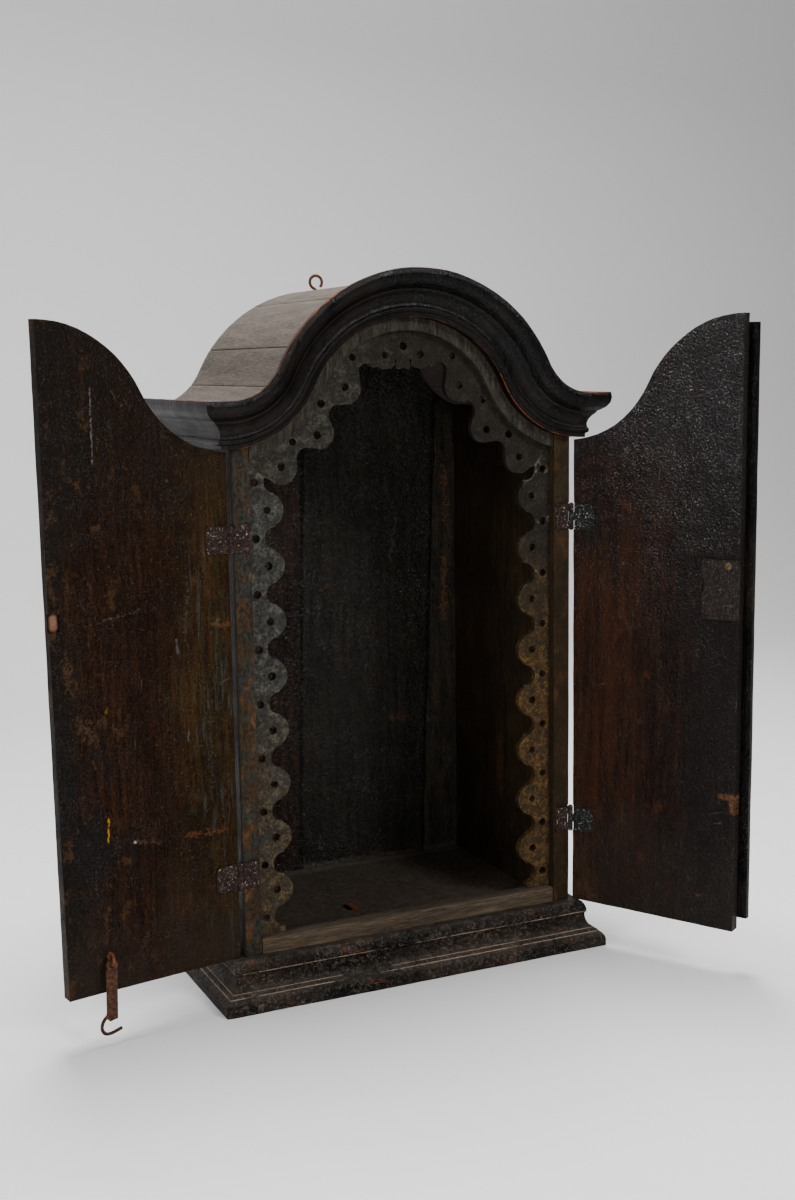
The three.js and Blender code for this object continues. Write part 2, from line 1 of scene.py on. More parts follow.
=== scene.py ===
# %% [markdown]
# # A folding shrine box
#
# The shrine is an arched wooden case with a moulded crown and base, scalloped fretwork round
# its mouth, and two doors that fold back on iron hinges. The solids give every piece its size
# and place. These cells give the pieces worn edges, uneven surfaces and old finishes.

import json
import math

import bmesh
import bpy
from mathutils import Matrix, Vector, noise
from mathutils.kdtree import KDTree


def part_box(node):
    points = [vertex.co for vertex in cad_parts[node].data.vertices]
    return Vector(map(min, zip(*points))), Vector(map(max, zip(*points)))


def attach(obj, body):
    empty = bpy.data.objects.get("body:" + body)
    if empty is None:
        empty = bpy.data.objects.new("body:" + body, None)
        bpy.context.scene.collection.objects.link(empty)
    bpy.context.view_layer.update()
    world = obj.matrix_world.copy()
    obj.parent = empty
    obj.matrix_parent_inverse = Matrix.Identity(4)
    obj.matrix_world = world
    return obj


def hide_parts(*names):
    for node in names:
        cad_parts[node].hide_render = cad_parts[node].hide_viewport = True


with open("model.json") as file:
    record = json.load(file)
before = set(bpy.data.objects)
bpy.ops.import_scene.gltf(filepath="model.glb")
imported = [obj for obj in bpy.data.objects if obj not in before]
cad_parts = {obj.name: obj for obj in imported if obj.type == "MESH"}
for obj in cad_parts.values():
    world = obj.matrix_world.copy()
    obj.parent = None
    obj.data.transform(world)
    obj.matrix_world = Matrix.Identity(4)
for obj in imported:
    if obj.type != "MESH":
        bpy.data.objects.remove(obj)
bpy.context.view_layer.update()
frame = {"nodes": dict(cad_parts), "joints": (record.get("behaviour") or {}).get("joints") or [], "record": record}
nodes = frame["nodes"]
record = frame["record"]
body_of = {n: body for body, names in record["behaviour"]["bodies"].items() for n in names}
MM = 1000  # millimetres in a metre: marks, zones and sections are written in millimetres

# %% [markdown]
# ## Sizes
#
# Everything arched on the case is an offset of one line: a round arch that sweeps out into
# two flat shoulders. `offset_of` tells how far any point lies outside that line, which is what
# places wear along the mouldings later.

# %% The bonnet curve
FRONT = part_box("side_board_left")[0].y  # the front plane of the case
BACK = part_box("back_board_middle")[1].y
CASE_HALF = 0.2  # half the width over the side boards
SHOULDER_Z = 0.59
ARCH_TOP_Z = 0.722
ARCH_R = 0.122
SWEEP_R = 0.107
ARCH_Z = ARCH_TOP_Z - ARCH_R
SWEEP_Z = SHOULDER_Z + SWEEP_R
SWEEP_X = math.sqrt((ARCH_R + SWEEP_R) ** 2 - (SWEEP_Z - ARCH_Z) ** 2)
TURN = math.atan2(SWEEP_X, SWEEP_Z - ARCH_Z)


def offset_of(x, z):
    """How far a point of the front elevation lies outside the bonnet curve."""
    if abs(x) > SWEEP_X:
        return z - SHOULDER_Z
    if math.atan2(abs(x), z - ARCH_Z) <= TURN:
        return math.hypot(x, z - ARCH_Z) - ARCH_R
    return SWEEP_R - math.hypot(abs(x) - SWEEP_X, z - SWEEP_Z)


print("sweeps centred", round(SWEEP_X, 4), "out, turning", round(math.degrees(TURN), 1))

# %% [markdown]
# ## Camera
#
# The camera stands to the left, a little above the top of the shrine, and looks down at it.
# Turning it about X, then Z, and last about its own line of sight keeps the three angles apart.

# %% Camera
PAN, TILT_DOWN, ROLL = -24.97, 8.621, -0.817

camera_data = bpy.data.cameras.new("camera")
camera_data.lens = 46.7
camera = bpy.data.objects.new("camera", camera_data)
bpy.context.scene.collection.objects.link(camera)
camera.matrix_world = (
    Matrix.Translation((-0.7149, FRONT - 1.5030, 0.6733))
    @ Matrix.Rotation(math.radians(PAN), 4, "Z")
    @ Matrix.Rotation(math.radians(90 - TILT_DOWN), 4, "X")
    @ Matrix.Rotation(math.radians(ROLL), 4, "Z")
)
bpy.context.scene.camera = camera
print("camera at", [round(v, 3) for v in camera.matrix_world.translation])

# %% [markdown]
# ## Studio
#
# A pale sweep of paper makes floor and backdrop in one sheet, so there is no corner. It is one
# edge, extruded back, spun up through a quarter turn and extruded up.

# %% Paper sweep
PAPER_NEAR_Y = -3.5
BEND_R = 0.9
BEND_Y = 1.5


def only(kind, geometry):
    """The vertices or the edges in a list of mixed geometry."""
    return [g for g in geometry if isinstance(g, kind)]


def extrude_line(mesh, edges, shift):
    """Extrudes edges by a shift and returns the new far edges."""
    out = bmesh.ops.extrude_edge_only(mesh, edges=edges)["geom"]
    bmesh.ops.translate(mesh, verts=only(bmesh.types.BMVert, out), vec=shift)
    return only(bmesh.types.BMEdge, out)


paper = bmesh.new()
ends = [paper.verts.new((x, PAPER_NEAR_Y, 0)) for x in (-5, 5)]
line = extrude_line(paper, [paper.edges.new(ends)], (0, BEND_Y - PAPER_NEAR_Y, 0))
turned = bmesh.ops.spin(
    paper, geom=line, cent=(0, BEND_Y, BEND_R), axis=(1, 0, 0), angle=math.radians(90), steps=24)
extrude_line(paper, only(bmesh.types.BMEdge, turned["geom_last"]), (0, 0, 3))
bmesh.ops.recalc_face_normals(paper, faces=paper.faces)
paper_mesh = bpy.data.meshes.new("paper_sweep")
paper.to_mesh(paper_mesh)
paper.free()
paper_mesh.shade_smooth()
backdrop = bpy.data.objects.new("paper_sweep", paper_mesh)
bpy.context.scene.collection.objects.link(backdrop)
print("paper sweep", len(paper_mesh.polygons), "faces")

# %% [markdown]
# Soft boxes on the left, on the right, in front and overhead give dim highlights on the dark
# wood and a faint shadow under the doors. A fifth one lights the paper behind.

# %% Lights
AMBIENT = 0.11
LIGHTS = {  # place, aim, size, power
    "left_box": ((-2.1, -0.6, 1.3), (0, 0, 0.5), 0.6, 23),
    "right_box": ((1.0, -2.4, 1.7), (0, 0, 0.3), 0.7, 50),
    "front_box": ((-0.9, -2.7, 1.0), (0, 0, 0.3), 0.5, 20),
    "top_box": ((0.1, 0.35, 2.3), (0, -0.5, 0), 1.0, 96),
    "paper_box": ((0.0, 1.2, 2.9), (0.0, 2.4, 0.9), 1.6, 11),
}
for name, (spot, aim, size, power) in LIGHTS.items():
    lamp = bpy.data.lights.new(name, "AREA")
    lamp.size = size
    lamp.energy = power
    holder = bpy.data.objects.new(name, lamp)
    bpy.context.scene.collection.objects.link(holder)
    turn = (Vector(aim) - Vector(spot)).to_track_quat("-Z", "Y")
    holder.matrix_world = Matrix.Translation(spot) @ turn.to_matrix().to_4x4()

world = bpy.data.worlds.new("studio")
world.use_nodes = True
background = world.node_tree.nodes["Background"].inputs
background["Color"].default_value = (0.95, 0.97, 1.0, 1)
background["Strength"].default_value = AMBIENT
bpy.context.scene.world = world
print(len(LIGHTS), "soft boxes")

# %% [markdown]
# ## Shader helpers
#
# Every finish is a small tree of nodes. These helpers place a node and join its sockets in one
# line, so that a material reads as a recipe. A node goes to the tree of the sockets it reads.

# %% Node helpers
def add(tree, kind, **settings):
    """Adds a node to a tree and sets its options."""
    node = tree.nodes.new(kind)
    for key, value in settings.items():
        setattr(node, key, value)
    return node


def join(value, into):
    """Links a socket to an input, or sets the input to a plain value."""
    if isinstance(value, bpy.types.NodeSocket):
        into.id_data.links.new(value, into)
    else:
        into.default_value = value


def place(kind, inputs, **settings):
    """Adds a node beside the sockets it reads and joins its inputs."""
    tree = next(v.id_data for v in inputs.values() if isinstance(v, bpy.types.NodeSocket))
    node = add(tree, kind, **settings)
    for key, value in inputs.items():
        join(value, node.inputs[key])
    return node


def noise_of(vector, scale, detail=4.0, rough=0.55):
    """A noise pattern, 0 to 1."""
    inputs = {"Vector": vector, "Scale": scale, "Detail": detail, "Roughness": rough}
    return place("ShaderNodeTexNoise", inputs).outputs["Fac"]


def between(value, low, high, to_low=0.0, to_high=1.0):
    """Stretches value from low..high to 0..1, or another span, and clamps it."""
    spans = {"From Min": low, "From Max": high, "To Min": to_low, "To Max": to_high}
    return place(
        "ShaderNodeMapRange", {"Value": value} | spans,
        interpolation_type="SMOOTHSTEP").outputs["Result"]


def patchy(vector, noise_inputs, low, high, to_low=0.0, to_high=1.0):
    """A noise pattern of the given scale, detail and roughness, stretched by `between`."""
    return between(noise_of(vector, *noise_inputs), low, high, to_low, to_high)


def sums(operation, first, second=0.0):
    """One step of arithmetic."""
    return place("ShaderNodeMath", {0: first, 1: second}, operation=operation).outputs[0]


def both(*masks):
    """Where all the masks are: their product."""
    result = masks[0]
    for mask in masks[1:]:
        result = sums("MULTIPLY", result, mask)
    return result


def vectors(operation, *values, output="Vector"):
    """One step of arithmetic on vectors."""
    inputs = dict(enumerate(values))
    return place("ShaderNodeVectorMath", inputs, operation=operation).outputs[output]


def scaled(vector, factor):
    """A vector, or a colour, times a number."""
    inputs = {0: vector, "Scale": factor}
    return place("ShaderNodeVectorMath", inputs, operation="SCALE").outputs[0]


def stretched(vector, factors):
    """A vector with each axis scaled, to draw a pattern out along the grain."""
    return vectors("MULTIPLY", vector, factors)


def nudged(vector, scale, detail, amount):
    """A vector moved a little by coloured noise, so that a pattern loses its straight lines."""
    jog = place("ShaderNodeTexNoise", {"Vector": vector, "Scale": scale, "Detail": detail})
    return vectors("MULTIPLY_ADD", jog.outputs["Color"], (amount,) * 3, vector)


def mixed(mask, first, second):
    """Two colours or two values, blended by a mask."""
    is_value = any(
        isinstance(v, (int, float)) or getattr(v, "type", "") == "VALUE" for v in (first, second))
    kind, a, b, out = ("FLOAT", 2, 3, 0) if is_value else ("RGBA", 6, 7, 2)
    first, second = ((*v, 1) if isinstance(v, tuple) else v for v in (first, second))
    return place("ShaderNodeMix", {0: mask, a: first, b: second}, data_type=kind).outputs[out]


def laid(base, mask, amount, colour):
    """Lays a colour over another through part of a mask."""
    return mixed(both(mask, amount), base, colour)


def new_group(name, inputs, outputs):
    """An empty node group. An input is a vector (None) or a number with a default."""
    group = bpy.data.node_groups.new(name, "ShaderNodeTree")
    for socket, value in inputs.items():
        kind = "NodeSocketVector" if value is None else "NodeSocketFloat"
        made = group.interface.new_socket(socket, in_out="INPUT", socket_type=kind)
        if value is not None:
            made.default_value = value
    for socket in outputs:
        group.interface.new_socket(socket, in_out="OUTPUT", socket_type="NodeSocketFloat")
    return group, add(group, "NodeGroupInput").outputs, add(group, "NodeGroupOutput").inputs


def give(group, gives, results):
    """Joins the results of a group to its outputs."""
    for name, socket in results.items():
        join(socket, gives[name])
    print(group.name, "puts out", ", ".join(results))


def effect(group, *outputs, **inputs):
    """Outputs of a shared effect: one alone, or several in a list."""
    node = place("ShaderNodeGroup", inputs, node_tree=group)
    sockets = [node.outputs[name] for name in outputs]
    return sockets if len(sockets) > 1 else sockets[0]


print("node helpers ready")

# %% [markdown]
# ## Shared effects
#
# Old wood shows the same few things everywhere: grain, a varnish that has shrunk into small
# grains, bare wood where an edge is rubbed, and dust where nobody wipes. Each one is a node
# group, so that a finish only says how much of it there is. The groups read a pattern vector
# whose third axis runs along the grain.

# %% Grain group
grain, given, gives = new_group(
    "wood_grain", {"Along": None, "Fineness": 1.0}, ["Streaks", "Fibres"])
bent = nudged(given["Along"], 6.0, 3.0, 0.02)
streak_size = sums("MULTIPLY", given["Fineness"], 210.0)
fibre_size = sums("MULTIPLY", given["Fineness"], 1100.0)
streak_lines = stretched(bent, (1, 1, 0.06))
fibre_lines = stretched(bent, (1, 1, 0.12))
give(grain, gives, {
    "Streaks": patchy(streak_lines, (streak_size, 8.0, 0.68), 0.36, 0.66),
    "Fibres": patchy(fibre_lines, (fibre_size, 3.0, 0.6), 0.3, 0.7),
})

# %% Shrunken varnish group
varnish, given, gives = new_group(
    "shrunken_varnish", {"Vector": None, "Size": 1.0},
    ["Grains", "Patches", "Flakes", "Specks", "Glints"])
vector = given["Vector"]
jogged = nudged(vector, 130.0, 4.0, 0.009)
cell_size = sums("MULTIPLY", given["Size"], 270.0)
cells = place(
    "ShaderNodeTexVoronoi", {"Vector": jogged, "Scale": cell_size}, feature="SMOOTH_F1")
domes = between(cells.outputs["Distance"], 0.0, 0.75, 0.9, 0.0)
fine = noise_of(vector, 520.0, 5.0, 0.7)
rough_places = patchy(vector, (34.0, 5.0, 0.65), 0.34, 0.66, 0.4, 1.0)
give(varnish, gives, {
    "Grains": sums("ADD", domes, fine),
    "Patches": patchy(vector, (13.0, 7.0, 0.66), 0.4, 0.62),
    "Flakes": patchy(jogged, (42.0, 9.0, 0.74), 0.575, 0.61),
    "Specks": patchy(jogged, (430.0, 3.0, 0.6), 0.62, 0.67),
    "Glints": both(between(fine, 0.46, 0.62), rough_places),
})

# %% Rubbed edge group
rubbed, given, gives = new_group("rubbed_edges", {"Vector": None, "Amount": 0.5}, ["Mask"])
arris = add(rubbed, "ShaderNodeAttribute", attribute_name="arris").outputs["Fac"]
broken = noise_of(given["Vector"], 120.0, 8.0, 0.75)
wide = noise_of(given["Vector"], 16.0, 3.0)
wear = sums("ADD", broken, sums("ADD", wide, given["Amount"]))
give(rubbed, gives, {"Mask": between(both(arris, wear), 1.08, 1.26)})

# %% Dust group
dusty, given, gives = new_group("settled_dust", {"Vector": None, "Amount": 0.5}, ["Mask"])
normal = add(dusty, "ShaderNodeNewGeometry").outputs["Normal"]
tilt = place("ShaderNodeSeparateXYZ", {0: normal}).outputs["Z"]
upward = between(tilt, 0.25, 0.95)
drift = patchy(given["Vector"], (60.0, 8.0, 0.75), 0.35, 0.65, 0.2, 1.0)
give(dusty, gives, {"Mask": both(upward, drift, given["Amount"])})

# %% Scratch group
scratched, given, gives = new_group("scratches", {"Vector": None, "Scarcity": 0.5}, ["Mask"])
strokes = []
for turn, span in ((8, 0.06), (-24, 0.1), (71, 0.08)):
    turned = place(
        "ShaderNodeMapping",
        {"Vector": given["Vector"], "Rotation": (0, math.radians(turn), 0)}, vector_type="POINT")
    lines = stretched(turned.outputs[0], (1, 1, span))
    strokes.append(patchy(lines, (420.0, 2.0, 0.5), 0.7, 0.73))
every = sums("MAXIMUM", sums("MAXIMUM", *strokes[:2]), strokes[2])
gate = between(noise_of(given["Vector"], 24.0, 3.0), given["Scarcity"], 0.72)
give(scratched, gives, {"Mask": both(every, gate)})

# %% [markdown]
# A mark is one scratch, drip, stain or worn spot: everything nearer than a width to the line
# between two points, with a ragged border. A ragged mark is also worn through in places.

# %% Mark group
mark, given, gives = new_group(
    "mark", {"Vector": None, "From": None, "To": None, "Width": 0.001, "Ragged": 0.0}, ["Mask"])
vector, start, ragged = given["Vector"], given["From"], given["Ragged"]
jog = place(
    "ShaderNodeTexNoise",
    {"Vector": vector, "Scale": 170.0, "Detail": 5.0, "Roughness": 0.7}).outputs["Color"]
push = scaled(vectors("SUBTRACT", jog, (0.5,) * 3), sums("MULTIPLY", ragged, 3.0))
arm = vectors("SUBTRACT", vectors("ADD", vector, push), start)
span = vectors("SUBTRACT", given["To"], start)
along = vectors("DOT_PRODUCT", arm, span, output="Value")
length = vectors("DOT_PRODUCT", span, span, output="Value")
share = place(
    "ShaderNodeMath", {0: along, 1: sums("MAXIMUM", length, 1e-9)}, operation="DIVIDE",
    use_clamp=True).outputs[0]
away = vectors("DISTANCE", arm, scaled(span, share), output="Value")
inside = between(away, given["Width"], sums("MULTIPLY", given["Width"], 0.35))
worn_through = patchy(vector, (330.0, 6.0, 0.72), 0.36, 0.56, 0.15, 1.0)
kept = mixed(between(ragged, 0.0005, 0.002), 1.0, worn_through)
give(mark, gives, {"Mask": both(inside, kept)})

# %% [markdown]
# ## Finishes
#
# A finish starts from `old_finish`, which makes the Principled shader and the vectors that its
# patterns need. Patterns on a door are read in the door's own frame, with X from the hinge to
# the free edge, so a Mapping node turns them with the door as it stands open.

# %% Material helpers
finishes = {}
DOOR_FRAMES = {"row": ((0, 0, 0), 0.0)}
for joint in frame["joints"]:
    if joint["name"].endswith("door_hinge"):
        side = joint["name"].split("_")[0]
        closing = joint["range_deg"][1] if side == "left" else joint["range_deg"][0]
        DOOR_FRAMES[side] = (tuple(joint["pos_m"]), math.radians(-closing))


def outer_face(side):
    """How far in front of its hinge the outer face of a door lies, with the door shut."""
    origin, angle = DOOR_FRAMES[side]
    shut = Matrix.Rotation(-angle, 3, "Z")
    return min((shut @ (v.co - Vector(origin))).y for v in nodes["door_" + side].data.vertices)


def old_finish(name, gloss, varnish_rough=0.22, where="row"):
    """A new finish: its shader, its vector in the frame asked for, and that vector's parts."""
    material = finishes[name] = bpy.data.materials.new(name)
    material.use_nodes = True
    tree = material.node_tree
    tree.nodes.clear()
    shader = add(tree, "ShaderNodeBsdfPrincipled")
    join(shader.outputs[0], add(tree, "ShaderNodeOutputMaterial").inputs[0])
    shader.inputs["Specular IOR Level"].default_value = gloss
    shader.inputs["Coat Roughness"].default_value = varnish_rough
    origin, angle = DOOR_FRAMES[where]
    raw = add(tree, "ShaderNodeTexCoord").outputs["Object"]
    inputs = {"Vector": raw, "Location": origin, "Rotation": (0, 0, angle)}
    vector = place("ShaderNodeMapping", inputs, vector_type="TEXTURE").outputs[0]
    return shader, vector, place("ShaderNodeSeparateXYZ", {0: vector}).outputs


def wood_colour(vector, dark, light, fineness=1.0, contrast=0.5):
    """Wood in dark and light streaks with finer fibres; contrast is how much the fibres show."""
    streak, fibres = effect(grain, "Streaks", "Fibres", Along=vector, Fineness=fineness)
    tone = between(fibres, 0.0, 1.0, 1.0 - contrast, 1.0 + contrast)
    return scaled(mixed(streak, dark, light), tone), streak, fibres


def flakes_along(vector, factors):
    """Where varnish or paint has flaked off, in flakes drawn out by factors."""
    return effect(varnish, "Flakes", Vector=stretched(vector, factors), Size=1.0)


def marked(vector, plane, base, marks):
    """Lays marks on a colour: two points in the plane, width, raggedness, strength, colour."""
    flat = stretched(vector, tuple(float(axis in plane) for axis in "xyz"))
    for start, end, width, ragged, strength, colour in marks:
        inputs = {"Vector": flat, "Width": width / MM, "Ragged": ragged / MM}
        for name, pair in (("From", start), ("To", end)):
            at = dict(zip(plane, pair))
            inputs[name] = [at.get(axis, 0) / MM for axis in "xyz"]
        base = laid(base, effect(mark, "Mask", **inputs), strength, colour)
    return base


def relief(shader, *layers):
    """Stacks bumps: each layer is a height and its depth in metres."""
    below = {}
    for height, depth in layers:
        inputs = {"Height": height, "Distance": depth, "Strength": 1.0} | below
        below = {"Normal": place("ShaderNodeBump", inputs).outputs[0]}
    for name in ("Normal", "Coat Normal"):
        join(below["Normal"], shader.inputs[name])


def coat(shader, colour, rough, glints=None, shine=0.0, film=0.0):
    """Joins a colour and a roughness to the shader, under a film of varnish with glints."""
    join(colour, shader.inputs["Base Color"])
    join(rough, shader.inputs["Roughness"])
    if glints is not None:
        join(sums("ADD", both(glints, shine), film), shader.inputs["Coat Weight"])


print("frames turned by", {k: round(math.degrees(a), 1) for k, (o, a) in DOOR_FRAMES.items()})

# %% [markdown]
# The mouldings and the outside of the case are stained almost black under an old varnish. Where
# hands and cloths have rubbed the edges the wood shows orange on the crown, and pale and dusty
# on the base.

# %% Black stained wood
def black_wood(
        name, worn_colour, wear, dust, patches=(0.012, 0.008, 0.006), flakes=None, shine=0.5,
        varnish_film=0.0, bumps=0.0004, returns_dust_and_sheen=False):
    """Stained wood; flakes adds chips of a colour, pale specks and crumbs of dirt."""
    shader, vector, parts = old_finish(name, 0.02, 0.17)
    stain = (0.0014, 0.0013, 0.0012), (0.004, 0.0034, 0.003)
    base, streak, fibres = wood_colour(vector, *stain, 0.7)
    grains, patch, glints, specks = effect(
        varnish, "Grains", "Patches", "Glints", "Specks", Vector=vector, Size=1.0)
    base = laid(base, patch, 0.5, patches)
    if flakes:
        base = laid(base, flakes_along(vector, (0.6, 1, 1.4)), *flakes)
        base = laid(base, specks, 0.8, (0.12, 0.1, 0.075))
        crumbs = patchy(vector, (230.0, 9.0, 0.82), 0.5, 0.6)
        heaps = patchy(vector, (24.0, 5.0, 0.6), 0.4, 0.6, 0.25, 1.0)
        base = laid(base, both(crumbs, heaps), 0.75, (0.1, 0.083, 0.064))
    # Grey streaks on the side returns, past the front mitres: partly dust, partly a painted sheen that makes the
    # returns lighter than the front.
    if returns_dust_and_sheen:
        past_mitre = sums("ADD", sums("ABSOLUTE", parts["X"]), parts["Y"])
        mitre = CASE_HALF + FRONT
        beside = between(past_mitre, mitre - 0.0005, mitre + 0.0005)
        base = laid(base, both(beside, streak), 0.1, (0.012, 0.011, 0.0103))
    bare = effect(rubbed, "Mask", Vector=vector, Amount=wear)
    base = mixed(bare, base, worn_colour)
    film = effect(dusty, "Mask", Vector=vector, Amount=dust)
    base = mixed(film, base, (0.11, 0.095, 0.08))
    rough = mixed(patch, 0.33, 0.5)
    rough = mixed(bare, rough, 0.75)
    rough = mixed(film, rough, 0.9)
    coat(shader, base, rough, glints, shine, varnish_film)
    relief(shader, (streak, 0.0003), (grains, bumps), (fibres, 0.0001))


black_wood(
    "crown_black", (0.15, 0.042, 0.013), 0.2, 0.03, shine=0.25, varnish_film=0.12,
    bumps=0.00015, returns_dust_and_sheen=True)
black_wood(
    "base_black", (0.26, 0.185, 0.135), 0.27, 0.4, patches=(0.028, 0.0185, 0.0135),
    flakes=(0.85, (0.055, 0.02, 0.010)), bumps=0.0013)
black_wood("case_black", (0.05, 0.024, 0.012), 0.0, 0.05)
print("black wood in", len(finishes), "versions")

# %% [markdown]
# Inside, the doors keep more of their colour. The left one is a warm red-brown in the middle,
# streaked with ochre and olive near its hinges and black along its free edge. The right one is
# a dark maroon under a grainy, shrunken varnish that glints.

# %% Door finishes
def door_wood(name, where, dark, light, zones, marks, bumps, shine, gloss, dull_below=(0, 0.01)):
    """Wood of a door. A zone is a pattern, amount and colour, then a span across and a span
    up the door, or either, over which it comes in."""
    shader, vector, parts = old_finish(name, gloss, 0.16, where)
    toward_free = sums("MULTIPLY", parts["X"], 1.0 if where == "left" else -1.0)
    centred = place(
        "ShaderNodeCombineXYZ", {0: toward_free, 1: parts["Y"], 2: parts["Z"]}).outputs[0]
    base, streak, fibres = wood_colour(vector, dark, light, 0.8)
    patch, specks, glints = effect(
        varnish, "Patches", "Specks", "Glints", Vector=vector, Size=1.0)
    shifted = stretched(vector, (-1, 1, 1))
    broad, middling, narrow = (
        effect(grain, "Streaks", Along=shifted, Fineness=f) for f in (0.4, 0.9, 1.5))
    patterns = {
        "all": 1.0, "streaks": narrow, "bands": broad, "patches": patch, "specks": specks,
        "drips": between(middling, 0.75, 0.95),
        "flakes": flakes_along(vector, (1, 1, 0.6)),
    }
    slow = noise_of(stretched(vector, (1, 1, 0.3)), 16.0, 8.0, 0.7)
    wander = sums("SUBTRACT", slow, 0.5)
    across = sums("ADD", toward_free, both(wander, 0.12))
    height = sums("ADD", parts["Z"], both(wander, 0.3))
    for pattern, amount, colour, *spans in zones:
        mask = patterns[pattern]
        for along, span in zip((across, height), spans):
            if span:
                mask = both(mask, between(along, span[0] / MM, span[1] / MM))
        base = laid(base, mask, amount, colour)
    lines = effect(scratched, "Mask", Vector=vector, Scarcity=0.5)
    base = laid(base, lines, 0.55, (0.1, 0.075, 0.055))
    base = marked(centred, "xz", base, marks)
    bare = effect(rubbed, "Mask", Vector=vector, Amount=0.04)
    base = mixed(bare, base, (0.09, 0.05, 0.028))
    outside = between(parts["Y"], outer_face(where) + 0.0025, outer_face(where) + 0.001)
    plain = mixed(streak, (0.0032, 0.0027, 0.0023), (0.0075, 0.006, 0.0048))
    base = mixed(outside, base, mixed(bare, plain, (0.05, 0.026, 0.014)))
    glints = both(
        glints, between(height, *dull_below, 0.3, 1.0),
        between(outside, 0.0, 1.0, 1.0, 0.3))
    coat(shader, base, mixed(bare, mixed(patch, 0.42, 0.6), 0.8), glints, shine)
    grains = effect(varnish, "Grains", Vector=vector, Size=1.5)
    relief(shader, (patch, 0.0002), (grains, bumps), (streak, 0.0004), (fibres, 0.0002))


OCHRE = (0.056, 0.026, 0.005)
PALE = (0.17, 0.15, 0.13)
door_wood(
    "left_door_wood", "left", (0.0076, 0.0031, 0.0015), (0.0245, 0.0088, 0.0034),
    [
        ("streaks", 0.7, OCHRE, (92, 38)),
        ("bands", 0.65, (0.019, 0.0165, 0.005), (80, 25)),
        ("patches", 0.6, (0.0085, 0.0065, 0.003), (92, 60)),
        ("specks", 0.8, (0.09, 0.045, 0.010), (92, 60)),
        ("drips", 0.6, (0.04, 0.052, 0.045), (70, 45), (560, 480)),
        ("patches", 0.6, (0.0085, 0.0036, 0.0018), (0, 20)),
        ("drips", 0.5, (0.055, 0.021, 0.006), (100, 150), (200, 260)),
        ("all", 0.8, (0.0075, 0.006, 0.0048), (160, 192)),
        ("all", 0.65, (0.0082, 0.0066, 0.0052), None, (480, 640)),
        ("patches", 0.85, (0.0075, 0.0072, 0.007), (90, 150), (380, 250)),
        ("all", 0.7, (0.021, 0.0135, 0.0095), None, (170, 80)),
        ("flakes", 0.75, (0.05, 0.023, 0.009), (60, 150)),
        ("specks", 0.7, (0.06, 0.036, 0.017)),
    ],
    [
        ((147.5, 654), (147.5, 582), 1.2, 3, 0.75, PALE),
        ((162.7, 426), (99.4, 437), 0.8, 4, 0.5, PALE),
        ((146.7, 231), (147.8, 207), 1.3, 2, 0.9, (0.42, 0.2, 0.01)),
        ((119, 202), (119, 202), 2.0, 2, 0.9, (0.5, 0.4, 0.28)),
        ((119, 202), (92, 197), 2.6, 7, 0.5, (0.09, 0.05, 0.03)),
        ((63, 199), (17, 195), 3.2, 8, 0.7, (0.11, 0.038, 0.012)),
        ((50.6, 467), (55, 380), 1.3, 9, 0.6, (0.07, 0.09, 0.085)),
        ((29.3, 335), (30.8, 230), 1.5, 9, 0.5, (0.07, 0.085, 0.07)),
        ((65.5, 402), (63.4, 388), 2.0, 3, 0.5, (0.12, 0.14, 0.14)),
        ((55, 306), (56, 298), 1.6, 3, 0.5, (0.12, 0.14, 0.14)),
        ((184, 395), (180, 360), 6.0, 16, 0.7, (0.075, 0.036, 0.014)),
        ((171, 330), (160, 315), 9.0, 22, 0.7, (0.07, 0.036, 0.015)),
        ((137, 322), (128, 316), 5.0, 14, 0.6, (0.08, 0.036, 0.013)),
        ((143.5, 342), (143.5, 339), 2.2, 4, 0.9, (0.16, 0.07, 0.008)),
        ((23, 414), (4, 411), 5.0, 12, 0.7, (0.12, 0.05, 0.016)),
        ((193.5, 437), (193.5, 428), 5.4, 0.3, 1.0, (0.2, 0.1, 0.06)),
    ], 0.0011, 0.4, 0.02)
door_wood(
    "right_door_wood", "right", (0.0068, 0.0036, 0.0028), (0.021, 0.0085, 0.0048),
    [
        ("bands", 0.8, (0.04, 0.0135, 0.005), (120, 60), (520, 440)),
        ("all", 0.8, (0.0085, 0.0075, 0.007), (110, 165)),
        ("all", 0.75, (0.013, 0.012, 0.0115), None, (500, 620)),
        ("all", 0.6, (0.018, 0.0135, 0.0108), None, (190, 110)),
        ("flakes", 0.6, (0.055, 0.017, 0.006), (150, 90)),
        ("streaks", 0.6, (0.06, 0.026, 0.01), (30, 10), (300, 200)),
        ("specks", 0.5, (0.04, 0.03, 0.022)),
    ],
    [
        ((26, 503), (24, 480), 20, 26, 0.75, (0.0065, 0.009, 0.0075)),
        ((198, 204), (186, 203), 5.0, 5, 0.85, (0.12, 0.052, 0.022)),
        ((199, 203), (199, 188), 5.5, 4, 0.85, (0.12, 0.052, 0.022)),
        ((187, 173), (183, 173), 1.8, 4, 0.8, (0.12, 0.045, 0.02)),
        ((163, 87), (158, 87), 1.4, 3, 0.8, (0.14, 0.04, 0.02)),
        ((16, 70), (30, 60), 8.0, 18, 0.6, (0.07, 0.035, 0.018)),
        ((60, 165), (150, 165), 0.7, 5, 0.3, PALE),
        ((150, 592), (158, 540), 0.7, 5, 0.4, PALE),
    ], 0.0014, 1.3, 0.04, (0.3, 0.62))
print("door finishes ready")

# %% [markdown]
# The niche is bare dark wood with the remains of a varnish. Each board has its own tone.

